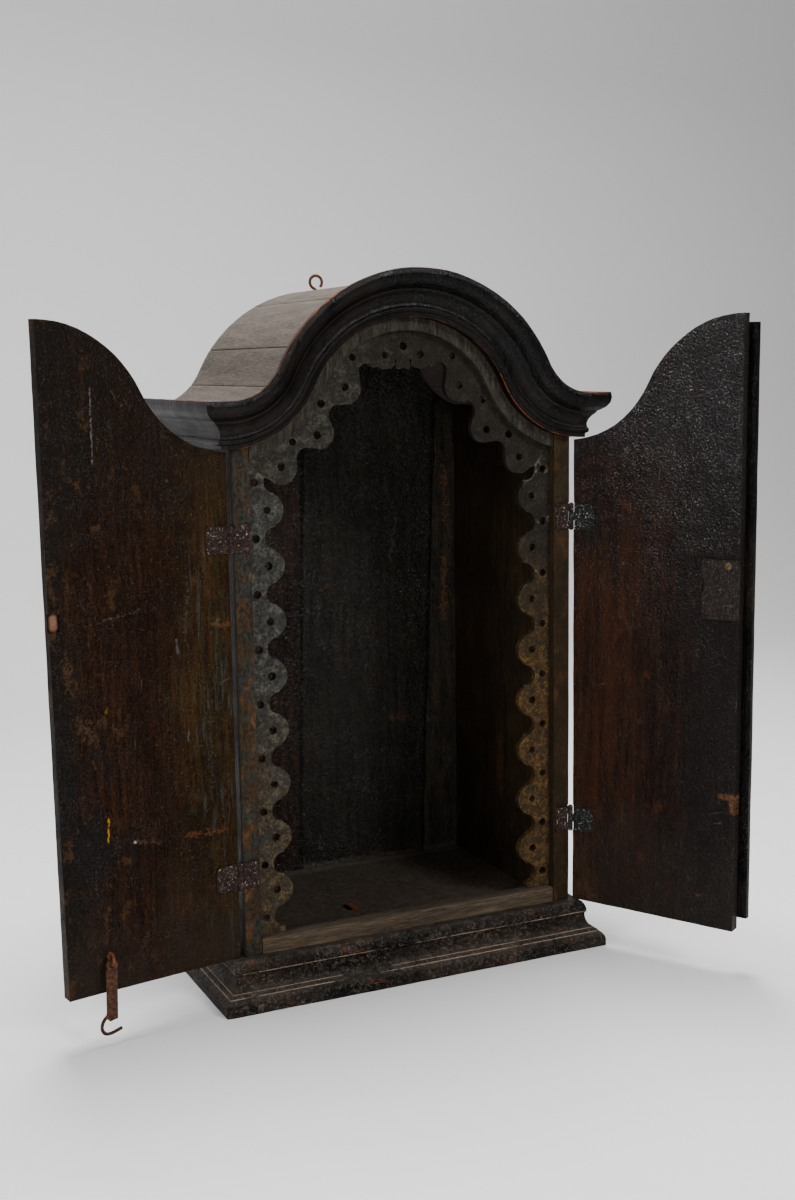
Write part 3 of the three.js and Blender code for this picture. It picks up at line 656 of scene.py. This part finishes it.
# %% Inner wood
def inner_wood(
        name, dark, light, dust=0.2, rough=(0.5, 0.68), accent=(0.05, 0.028, 0.012),
        accent_amount=0.3, shine=0.5, bumps=0.0007, plane="xz", marks=(), stile=None,
        along=(1, 1, 1), flakes=0.35, furrows=0.0005, edges=((0.075, 0.045, 0.026), 0.04),
        contrast=0.5, plain_outside=True):
    """Wood of the case. A stile is the colours of its front edge: below, above, paint and wood.
    Where plain_outside holds, the outer faces show neither the marks nor most of the glints."""
    shader, vector, parts = old_finish(name, 0.07, 0.18)
    lengthwise = stretched(vector, along)
    base, streak, fibres = wood_colour(lengthwise, dark, light, 0.8, contrast)
    grains, patch, specks, glints = effect(
        varnish, "Grains", "Patches", "Specks", "Glints", Vector=vector, Size=1.0)
    base = laid(base, both(patch, streak), accent_amount, accent)
    base = laid(base, flakes_along(vector, (1, 1, 0.6)), flakes, accent)
    base = laid(base, specks, 0.35, accent)
    if stile:
        low, high, paint, bare_wood = stile
        other = stretched(vector, (1.3, 1, -0.8))
        tone = mixed(between(parts["Z"], 0.42, 0.52), low, high)
        tone = laid(tone, streak, 0.5, dark)
        tone = laid(tone, patchy(vector, (46.0, 8.0, 0.72), 0.49, 0.54), 0.85, paint)
        tone = laid(tone, patchy(other, (60.0, 8.0, 0.72), 0.53, 0.57), 0.9, bare_wood)
        tone = laid(tone, patchy(other, (240.0, 6.0, 0.7), 0.47, 0.56), 0.7, dark)
        front_edge = between(parts["Y"], FRONT + 0.0025, FRONT + 0.001)
        base = mixed(front_edge, base, tone)
    film = effect(dusty, "Mask", Vector=vector, Amount=dust)
    base = mixed(film, base, (0.075, 0.065, 0.052))
    if marks:
        base = marked(vector, plane, base, marks)
    bare = effect(rubbed, "Mask", Vector=vector, Amount=edges[1])
    base = mixed(bare, base, edges[0])
    if plain_outside:
        sideways = sums("ABSOLUTE", parts["X"])
        outside = sums(
            "MAXIMUM", between(parts["Y"], BACK - 0.003, BACK - 0.001),
            between(sideways, CASE_HALF - 0.003, CASE_HALF - 0.001))
        base = mixed(outside, base, mixed(streak, dark, (0.018, 0.0135, 0.010)))
        glints = both(glints, between(outside, 0.0, 1.0, 1.0, 0.12))
    coat(shader, base, mixed(patch, *rough), glints, shine)
    relief(shader, (grains, bumps), (streak, furrows), (fibres, furrows * 0.4))


GRIMY = ((0.0022, 0.0018, 0.0014), 0.5)
WORN = (0.13, 0.056, 0.018)
SCUFF = (0.12, 0.11, 0.095)
DIRT_LINE = (0.06, 0.051, 0.042)
inner_wood(
    "back_board_maroon", (0.007, 0.0037, 0.0031), (0.015, 0.0066, 0.005), shine=2.2, bumps=0.002,
    contrast=0.25, furrows=0.0002, edges=GRIMY)
inner_wood(
    "back_board_brown", (0.0076, 0.0073, 0.006), (0.0165, 0.015, 0.0118), shine=3.0,
    bumps=0.0026, contrast=0.25, furrows=0.0002, accent=(0.034, 0.022, 0.011), edges=GRIMY,
    marks=[
        ((94, 594), (97, 545), 5.0, 12, 0.4, (0.03, 0.024, 0.01)),
        ((99, 484), (90, 434), 2.4, 10, 0.6, SCUFF),
        ((-4, 403), (4, 404), 2.2, 8, 0.8, WORN),
        ((-8, 380), (-8, 378), 1.6, 4, 0.8, WORN),
        ((88, 232), (112, 228), 5.0, 14, 0.6, WORN),
        ((118, 345), (122, 300), 6.0, 16, 0.5, (0.035, 0.026, 0.012)),
        ((-14, 75), (-12, 75), 3.4, 4, 0.7, (0.06, 0.034, 0.018)),
        ((-108, 55), (118, 52), 5.0, 3, 0.8, DIRT_LINE),
    ])
inner_wood(
    "back_board_worn", (0.0135, 0.0122, 0.0098), (0.031, 0.026, 0.019), bumps=0.0012,
    accent=(0.05, 0.032, 0.015), accent_amount=0.35, edges=GRIMY, marks=[
        ((166, 545), (168, 480), 4.5, 14, 1.0, WORN),
        ((165, 430), (164, 356), 5.0, 14, 1.0, WORN),
        ((134, 226), (142, 224), 4.2, 12, 0.7, WORN),
        ((150, 252), (153, 246), 4.0, 12, 0.7, WORN),
        ((120, 53), (180, 52), 5.0, 3, 0.8, DIRT_LINE),
    ])
inner_wood(
    "floor_board_dusty", (0.028, 0.021, 0.016), (0.082, 0.062, 0.048), dust=0.45,
    rough=(0.6, 0.8), accent=(0.045, 0.034, 0.025), shine=0.1, bumps=0.0004, plane="xy", marks=[
        ((-180, 232), (180, 232), 16.0, 4, 0.7, (0.13, 0.11, 0.09)),
        ((-35, 73), (-35, 90), 7.0, 1, 1.0, (0.15, 0.045, 0.018)),
        # A near-black spot: painted shade standing in for the nail hole beside the rust.
        ((-42, 75), (-42, 88), 5.5, 0, 1.0, (0.001, 0.001, 0.001)),
        ((-90, 92), (40, 128), 0.9, 6, 0.5, SCUFF),
        ((10, 60), (120, 150), 0.8, 7, 0.5, SCUFF),
        ((-20, 150), (90, 96), 0.8, 7, 0.4, SCUFF),
        ((60, 40), (150, 66), 0.9, 6, 0.5, SCUFF),
    ])
inner_wood(
    "rail_brown", (0.042, 0.031, 0.021), (0.094, 0.068, 0.044), dust=0.8, shine=0.2,
    along=(0.06, 1, 16))
inner_wood(
    "head_board_brown", (0.014, 0.0125, 0.0095), (0.036, 0.031, 0.022), shine=0.35,
    accent=(0.04, 0.036, 0.026))
inner_wood(
    "side_board_left_wood", (0.0065, 0.0042, 0.0026), (0.018, 0.0105, 0.0052), shine=0.2,
    stile=(
        (0.045, 0.026, 0.012), (0.036, 0.030, 0.021), (0.021, 0.026, 0.023),
        (0.095, 0.045, 0.016)))
inner_wood(
    "side_board_right_wood", (0.015, 0.0105, 0.0062), (0.024, 0.0165, 0.0093),
    accent=(0.055, 0.031, 0.012), accent_amount=0.35, shine=0.15, bumps=0.0004, furrows=0.0002,
    stile=(
        (0.026, 0.012, 0.004), (0.03, 0.019, 0.0065), (0.012, 0.0085, 0.0032),
        (0.05, 0.022, 0.006)),
    plane="yz", marks=[
        ((118, 218), (119, 152), 9.0, 14, 0.5, (0.1, 0.045, 0.010)),
        ((84, 120), (94, 114), 1.2, 7, 0.6, SCUFF),
        ((61, 366), (62, 362), 2.4, 4, 0.5, (0.05, 0.03, 0.01)),
    ])
inner_wood(
    "roof_grey", (0.067, 0.0568, 0.048), (0.093, 0.079, 0.067), rough=(0.75, 0.9),
    accent=(0.075, 0.062, 0.05), accent_amount=0.4, shine=0.0, bumps=0.0003, along=(1, 0.09, 6),
    flakes=0.1, furrows=0.00015, contrast=0.2, plain_outside=False)
print("inner wood ready")

# %% [markdown]
# The fretwork keeps an old paint: grey-green verdigris on the left, turning to ochre and dull
# gold low on the right, and dark grey-brown over the arch.

# %% Fret paint
def fret_paint(name, axis, turn_at, low, high, dark=(0.010, 0.009, 0.007), streaked=None):
    """Old paint that turns from one colour to another along an axis, blotched and rusty."""
    shader, vector, parts = old_finish(name, 0.08)
    slow = sums("SUBTRACT", noise_of(vector, 26.0, 6.0, 0.65), 0.5)
    reach = sums("ADD", parts[axis], both(slow, 0.35))
    mottle = patchy(vector, (310.0, 7.0, 0.72), 0.4, 0.6, 0.4, 1.35)
    base = scaled(mixed(between(reach, *turn_at), low, high), mottle)
    blotch = patchy(vector, (75.0, 8.0, 0.75), 0.44, 0.57)
    base = laid(base, blotch, 0.6, dark)
    rust = patchy(vector, (150.0, 6.0, 0.75), 0.56, 0.64)
    base = laid(base, rust, 0.6, (0.07, 0.036, 0.014))
    base = laid(base, flakes_along(vector, (1.6, 1, 1.2)), 0.8, (0.05, 0.034, 0.018))
    if streaked:
        places = patchy(vector, (60.0, 8.0, 0.7), 0.54, 0.6)
        base = laid(base, places, 0.7, streaked)
    # Everything a little behind the front face, the walls of the holes and the cut edges, is darkened: painted
    # shade in the holes.
    cut_face_shade = between(parts["Y"], FRONT - 0.0085, FRONT - 0.0072)
    base = laid(base, cut_face_shade, 0.8, dark)
    bare = effect(rubbed, "Mask", Vector=vector, Amount=0.13)
    base = laid(base, bare, 0.7, (0.15, 0.122, 0.088))
    glints = effect(varnish, "Glints", Vector=vector, Size=1.0)
    coat(shader, base, mixed(blotch, 0.5, 0.7), glints, 0.35)
    grains = effect(varnish, "Grains", Vector=vector, Size=1.3)
    relief(shader, (blotch, 0.0004), (grains, 0.0006), (mottle, 0.0003))


fret_paint(
    "fret_paint_left", "Z", (0.08, 0.4), (0.33, 0.215, 0.085), (0.25, 0.25, 0.215),
    streaked=(0.11, 0.13, 0.12))
fret_paint(
    "fret_paint_right", "Z", (0.3, 0.5), (0.36, 0.18, 0.035), (0.056, 0.046, 0.029),
    streaked=(0.07, 0.05, 0.02))
fret_paint(
    "fret_paint_arch", "X", (-0.12, 0.02), (0.18, 0.16, 0.128), (0.054, 0.04, 0.026))
print("fret paint ready")

# %% [markdown]
# All the ironwork is hand-made and rusty: red-brown and rough, with a few bright specks where
# the scale has come off.

# %% Rusty iron
def rusty_iron(name, dark, light, speck, spread=(0.64, 0.72), depth=0.0009, gloss=0.12, rough=0.75):
    """Iron in dark and light rust; spread says where bare specks of metal show through."""
    shader, vector, parts = old_finish(name, gloss)
    scale = noise_of(vector, 300.0, 7.0, 0.72)
    base = mixed(between(scale, 0.4, 0.62), dark, light)
    base = laid(base, patchy(vector, (130.0, 6.0, 0.7), 0.52, 0.6), 0.7, dark)
    bright = patchy(vector, (480.0, 4.0, 0.65), *spread)
    base = laid(base, bright, 0.8, speck)
    coat(shader, base, mixed(bright, rough, 0.3))
    join(both(bright, 0.6), shader.inputs["Metallic"])
    relief(shader, (scale, depth))


HAMMERED = {"depth": 0.0022, "gloss": 0.15, "rough": 0.42}
IRONS = {
    "hinge_iron": ((0.005, 0.0034, 0.0028), (0.036, 0.017, 0.011), (0.5, 0.42, 0.38), (0.6, 0.66)),
    "green_iron": (
        (0.004, 0.0052, 0.0042), (0.018, 0.020, 0.016), (0.6, 0.64, 0.6), (0.59, 0.65)),
    "hook_iron": ((0.028, 0.013, 0.008), (0.095, 0.038, 0.02), (0.2, 0.13, 0.09)),
    "eye_iron": ((0.05, 0.02, 0.01), (0.16, 0.055, 0.022), (0.55, 0.42, 0.33)),
    "plate_iron": (
        (0.006, 0.0046, 0.0042), (0.028, 0.018, 0.0145), (0.2, 0.16, 0.14), (0.6, 0.68),
        0.0014, 0.14, 0.55),
    "dull_brass": ((0.05, 0.035, 0.015), (0.15, 0.105, 0.045), (0.6, 0.48, 0.25)),
}
for name, looks in IRONS.items():
    leaf = HAMMERED if name in ("hinge_iron", "green_iron") else {}
    rusty_iron(name, *looks, **leaf)
print(len(finishes), "finishes")

# %% [markdown]
# ## Ageing a piece
#
# The solids have knife edges and dead flat faces, which old boards never have. Each visible
# board is therefore made again: a merged copy of its solid is cut into cells, its edges are
# bevelled, and its surface is pushed in and out a little by noise. A vertex attribute called
# arris says how close each point is to an edge, for the rubbed_edges effect.

# %% Ageing helpers
SHARP = math.radians(35)
BEVEL = {"offset_type": "OFFSET", "segments": 2, "profile": 0.5, "material": -1,
         "clamp_overlap": True}


def sharp_edges(mesh):
    """The edges where two faces meet at a sharp angle."""
    return [e for e in mesh.edges if e.is_manifold and e.calc_face_angle(0) > SHARP]


def everything(mesh):
    """All of a mesh, as the operators take it."""
    return mesh.verts[:] + mesh.edges[:] + mesh.faces[:]


def arris_points(mesh, step=0.0015):
    """Points along all the sharp edges of a mesh, in a tree that finds the nearest."""
    spots = []
    for edge in sharp_edges(mesh):
        a, b = (v.co for v in edge.verts)
        count = max(1, int((b - a).length / step))
        spots += [a.lerp(b, (i + 0.5) / count) for i in range(count)]
    tree = KDTree(len(spots))
    for i, spot in enumerate(spots):
        tree.insert(spot, i)
    tree.balance()
    return tree


def cut_in_cells(mesh, cell):
    """Cuts a mesh along a grid of planes, so that noise has vertices to move."""
    for axis in range(3):
        low = min(v.co[axis] for v in mesh.verts)
        high = max(v.co[axis] for v in mesh.verts)
        count = int((high - low) / cell)
        normal = Vector([float(i == axis) for i in range(3)])
        for i in range(1, count + 1):
            at = low + (high - low) * i / (count + 1)
            bmesh.ops.bisect_plane(
                mesh, geom=everything(mesh), dist=1e-6, plane_co=normal * at, plane_no=normal)


def wobble(mesh, amount, size, seed, lift=-0.35):
    """Pushes the surface in and out in wide and finer swells. A negative lift keeps most of it
    inside the solid, as a worn surface is; a positive one raises it."""
    mesh.normal_update()
    shift = Vector((seed * 3.1, seed * 1.7, seed * 5.3))
    moves = []
    for v in mesh.verts:
        swell = noise.noise(v.co / size + shift) + 0.45 * noise.noise(v.co / size * 3.7 + shift)
        moves.append(v.normal * (amount * (swell + lift)))
    for v, move in zip(mesh.verts, moves):
        v.co += move


def mark_arrises(mesh, edges, width=0.003):
    """Stores how near each vertex is to a sharp edge: 1 on it, falling to 0."""
    layer = mesh.verts.layers.float.new("arris")
    for v in mesh.verts:
        v[layer] = math.exp(-((edges.find(v.co)[2] / width) ** 2))


def finish_piece(mesh, name, body, finish, stands_for=(), smooth=32):
    """Turns a bmesh into a finished piece that rides on its body."""
    data = bpy.data.meshes.new(name)
    mesh.to_mesh(data)
    mesh.free()
    data.shade_smooth()
    data.set_sharp_from_angle(angle=math.radians(smooth))
    piece = bpy.data.objects.new(name, data)
    bpy.context.scene.collection.objects.link(piece)
    data.materials.append(finishes[finish])
    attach(piece, body)
    if stands_for:
        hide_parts(*stands_for)
    return piece


def aged_board(
        node, finish, cell=0.012, bevel=0.0009, amount=0.0003, size=0.05, seed=1, dent=None,
        lift=-0.35):
    """Makes a worn version of one solid and prints how fine it is."""
    mesh = bmesh.new()
    mesh.from_mesh(nodes[node].data)
    bmesh.ops.remove_doubles(mesh, verts=mesh.verts, dist=1e-6)
    bmesh.ops.dissolve_limit(mesh, angle_limit=math.radians(1), verts=mesh.verts, edges=mesh.edges)
    edges = arris_points(mesh)
    bmesh.ops.bevel(mesh, geom=sharp_edges(mesh), offset=bevel, affect="EDGES", **BEVEL)
    cut_in_cells(mesh, cell)
    mark_arrises(mesh, edges)
    wobble(mesh, amount, size, seed, lift)
    if dent:
        dent(mesh)
    print(node, len(mesh.faces), "faces")
    finish_piece(mesh, node + "_aged", body_of[node], finish, [node])


print("ageing helpers ready")

# %% [markdown]
# ## Case
#
# The boards of the case, its floor and its rail only need ageing. The back boards are raised by
# a tenth of a millimetre, so that they meet in a dark line and no light comes between them.

# %% Case boards
CLOSE_FITTING = {"amount": 0.00008, "lift": 1.4}
BOARDS = {  # finish, cell, bevel
    "side_board_left": ("side_board_left_wood", 0.014, 0.0012),
    "side_board_right": ("side_board_right_wood", 0.014, 0.0012),
    "back_board_left": ("back_board_maroon", 0.014, 0.0006),
    "back_board_middle": ("back_board_brown", 0.014, 0.0006),
    "back_board_right": ("back_board_worn", 0.014, 0.0006),
    "floor_board": ("floor_board_dusty", 0.014, 0.0006),
    "bottom_rail": ("rail_brown", 0.012, 0.0016),
    "arched_head_board": ("head_board_brown", 0.012, 0.0008),
}
for seed, (node, (finish, cell, bevel)) in enumerate(BOARDS.items()):
    fit = CLOSE_FITTING if node.startswith("back_board") else {}
    aged_board(node, finish, cell, bevel, seed=seed, **fit)

# %% Roof planks
for node in sorted(n for n in nodes if n.startswith("roof_plank")):
    aged_board(node, "roof_grey", 0.013, 0.0008, 0.0004, 0.07, seed=int(node[-1]))

# %% Doors
aged_board("door_left", "left_door_wood", 0.009, 0.0015, 0.0004, 0.04, seed=3)
aged_board("door_right", "right_door_wood", 0.009, 0.0015, 0.0004, 0.04, seed=5)
aged_board("astragal_strip", "case_black", 0.012, 0.0008, 0.0003, 0.04, seed=6)

# %% Fretwork
for node in ("fret_strip_left", "fret_strip_right", "fret_arch"):
    paint = "fret_paint_" + node.split("_")[-1]
    aged_board(node, paint, 0.007, 0.0009, 0.0003, 0.02, seed=8)

# %% Ironwork
IRON = {"lock_plate": "plate_iron", "door_hook": "hook_iron"}
IRON |= {n: "eye_iron" for n in ("hook_eye", "roof_eye")}
IRON |= {n: "hinge_iron" for n in nodes if n.startswith("hinge_pin")}
IRON |= {n: "plate_iron" for n in nodes if n.startswith("lock_nail")}
IRON["lock_nail_2"] = "dull_brass"
for node, finish in IRON.items():
    nodes[node].data.materials.clear()
    nodes[node].data.materials.append(finishes[finish])
print(len(IRON), "iron pieces")


# %% [markdown]
# The hinge leaves are lumpy plates, each held by four nails with flat, rusted heads. The heads
# keep the height of the solid and the iron round them is sunk, so that two leaves can close.

# %% Hinge leaves
SUNK = 0.0005
HEAD_R = 0.0038
HEADS_BESIDE, HEADS_UP = 0.0068, 0.0075  # from the middle of a leaf to its nails
ASTRAY = 0.003  # how far a nail strays from its place


def hammered(node, seed):
    """A dent that leaves four nail heads on the face of a leaf and sinks the iron between them."""
    turn = DOOR_FRAMES[node.split("_")[-1]][1] if node.startswith("door") else math.pi
    facing = Matrix.Rotation(turn, 3, "Z") @ Vector((0, 1, 0))
    beside = facing.cross(Vector((0, 0, 1)))

    def dent(mesh):
        flat = [v for v in mesh.verts if v.normal.dot(facing) > 0.3]
        plate = [v.co for v in flat if v.normal.dot(facing) > 0.97]
        middle = sum(plate, Vector()) / len(plate)
        heads = []
        for i, (u, w) in enumerate(((-1, -1), (-1, 1), (1, -1), (1, 1))):
            off = noise.noise_vector(Vector((seed * 3.3, i * 2.1, 0.5))) * ASTRAY
            up = Vector((0, 0, w * HEADS_UP + off.z))
            heads.append(middle + beside * (u * HEADS_BESIDE + off.x) + up)
        for v in flat:
            near = min((v.co - head).length for head in heads)
            lump = noise.noise(v.co * 260) * 0.00012
            v.co -= facing * (SUNK * (1 - math.exp(-((near / HEAD_R) ** 4))) + 0.0001 + lump)

    return dent


LEAVES = sorted(n for n in nodes if n.startswith(("frame_leaf", "door_leaf")))
for seed, node in enumerate(LEAVES):
    green = node.startswith("door") and node.endswith("right")
    finish = "green_iron" if green else "hinge_iron"
    aged_board(node, finish, 0.0013, 0.0004, 0.0001, 0.009, seed, hammered(node, seed))

# %% [markdown]
# ## Mouldings
#
# A plane moulding is one section drawn along a line. The section is a face with its corners
# rounded, spun along the sweeps and the arch, and cut to a mitre at each front corner.

# %% Moulding sections
CROWN_SECTION = [
    (0.3, 0), (12.7, 0), (12.7, 4.2), (15.6, 5.8), (16, 9), (14.3, 11.5), (14, 15), (15.2, 19.5),
    (17.8, 23.5), (21.6, 27), (22.2, 28.8), (24.8, 30), (29.6, 33.2), (33, 38), (34.2, 43.5),
    (33.6, 49.2), (32.2, 50), (22, 48), (0.3, 39)]
BASE_SECTION = [
    (0.3, 0), (32, 0), (32, 8.5), (31, 12), (28.5, 15.4), (25.6, 17.6), (24.2, 19.6),
    (20.6, 20.8), (17, 24.5), (15, 28.5), (14, 33), (13.8, 37), (15.6, 39), (15.5, 43),
    (13.8, 47.5), (11.2, 51), (8.8, 52), (0.3, 52)]
CORNER_R = 0.0007
SPARE = 0.05  # how far a length is drawn past where it is cut
MITRE = CASE_HALF + 0.0002
MITRE_GAP = 0.0004
CHIP_AT, CHIP_TOP_Z = 0.0436, 0.0125  # out along the diagonal, and up


def section_ring(mesh, section, place_point):
    """The section as a ring of edges, with its corners rounded by a vertex bevel."""
    face = mesh.faces.new([mesh.verts.new(place_point(out / MM, up / MM)) for out, up in section])
    corners = [v for v, (out, up) in zip(face.verts, section) if out > 1]
    bmesh.ops.bevel(mesh, geom=corners, offset=CORNER_R, affect="VERTICES", **BEVEL)
    bmesh.ops.delete(mesh, geom=mesh.faces[:], context="FACES_ONLY")
    return mesh.edges[:] + mesh.verts[:]


def drawn(mesh, ring, steps, centre=(0, 0, 0), angle=0.0, shift=(0, 0, 0)):
    """Carries the ring along a turn or a shift and returns the ring at its end."""
    return bmesh.ops.spin(
        mesh, geom=ring, cent=centre, axis=(0, 1, 0), dvec=shift, angle=angle,
        steps=steps)["geom_last"]


def closed_cut(mesh, point, normal):
    """Cuts off what lies beyond a plane and closes the end."""
    point, normal = Vector(point), Vector(normal)
    bmesh.ops.bisect_plane(
        mesh, geom=everything(mesh), dist=1e-6, plane_co=point, plane_no=normal, clear_outer=True)
    on_plane = {v for v in mesh.verts if abs((v.co - point).dot(normal)) < 1e-5}
    rim = [e for e in mesh.edges if e.is_boundary and on_plane.issuperset(e.verts)]
    bmesh.ops.holes_fill(mesh, edges=rim, sides=0)


def mitred_front(mesh):
    """Cuts both ends of a front length at its mitres."""
    for side in (-1, 1):
        closed_cut(mesh, (side * (MITRE - MITRE_GAP), 0, 0), (side, 1, 0))


def chip_corner(mesh):
    """Breaks off the left front corner of the plinth, low down."""
    diagonal = Vector((-1, -1, 0)).normalized()
    for v in mesh.verts:
        beyond = (v.co - Vector((-CASE_HALF, 0, 0))).dot(diagonal) - CHIP_AT
        if beyond > 0 and v.co.z < CHIP_TOP_Z:
            v.co -= diagonal * beyond


def finish_moulding(mesh, node, finish, worn_lines, seed):
    """Ages a moulding and marks the lines along it that are rubbed: pairs of (out, up), in mm."""
    bmesh.ops.recalc_face_normals(mesh, faces=mesh.faces)
    layer = mesh.verts.layers.float.new("arris")
    is_crown = node.startswith("crown")
    width = 2.2 if is_crown else 1.6
    for v in mesh.verts:
        if abs(v.co.x) < CASE_HALF - v.co.y:
            out = -v.co.y
            up = offset_of(v.co.x, v.co.z) if is_crown else v.co.z
        else:
            out = abs(v.co.x) - CASE_HALF
            up = v.co.z - (SHOULDER_Z if is_crown else 0)
        near = min(math.hypot(out * MM - o, up * MM - u) for o, u in worn_lines)
        v[layer] = math.exp(-((near / width) ** 2))
    wobble(mesh, 0.00035, 0.03, seed)
    if not is_crown:
        chip_corner(mesh)
    bmesh.ops.translate(mesh, verts=mesh.verts, vec=(0, FRONT, 0))
    print(node, len(mesh.faces), "faces")
    finish_piece(mesh, node + "_drawn", body_of[node], finish, [node], smooth=38)


# %% Crown
CROWN_WEAR = [(33.8, 47.5), (33.0, 50), (12.2, 0)]
crown = bmesh.new()
ring = section_ring(
    crown, CROWN_SECTION, lambda out, up: (-CASE_HALF - SPARE, -out, SHOULDER_Z + up))
shoulder = {"shift": ((CASE_HALF + SPARE - SWEEP_X) / 8, 0, 0)}
ring = drawn(crown, ring, 8, **shoulder)
ring = drawn(crown, ring, 26, (-SWEEP_X, 0, SWEEP_Z), -TURN)
ring = drawn(crown, ring, 60, (0, 0, ARCH_Z), 2 * TURN)
ring = drawn(crown, ring, 26, (SWEEP_X, 0, SWEEP_Z), -TURN)
drawn(crown, ring, 8, **shoulder)
mitred_front(crown)
finish_moulding(crown, "crown_front", "crown_black", CROWN_WEAR, 2)


# %% Side and base lengths
def side_length(node, section, low, side, finish, wear, seed):
    """A length of moulding along one side of the case, mitred at the front."""
    mesh = bmesh.new()
    ring = section_ring(mesh, section, lambda out, up: (side * (CASE_HALF + out), -SPARE, low + up))
    reach = BACK - FRONT
    drawn(mesh, ring, 32, shift=(0, (reach + 0.06) / 32, 0))
    closed_cut(mesh, (side * MITRE, 0, 0), (-side, -1, 0))
    closed_cut(mesh, (0, reach, 0), (0, 1, 0))
    finish_moulding(mesh, node, finish, wear, seed)


BASE_WEAR = [(15.6, 39.2), (20.8, 20.7), (25.8, 17.4)]
for side, name in ((-1, "left"), (1, "right")):
    side_length(
        "crown_return_" + name, CROWN_SECTION, SHOULDER_Z, side, "crown_black", CROWN_WEAR,
        3 + side)
    side_length("base_side_" + name, BASE_SECTION, 0, side, "base_black", BASE_WEAR, 7 + side)

base = bmesh.new()
ring = section_ring(base, BASE_SECTION, lambda out, up: (-CASE_HALF - SPARE, -out, up))
drawn(base, ring, 56, shift=((2 * (CASE_HALF + SPARE)) / 56, 0, 0))
mitred_front(base)
finish_moulding(base, "base_front", "base_black", BASE_WEAR, 11)
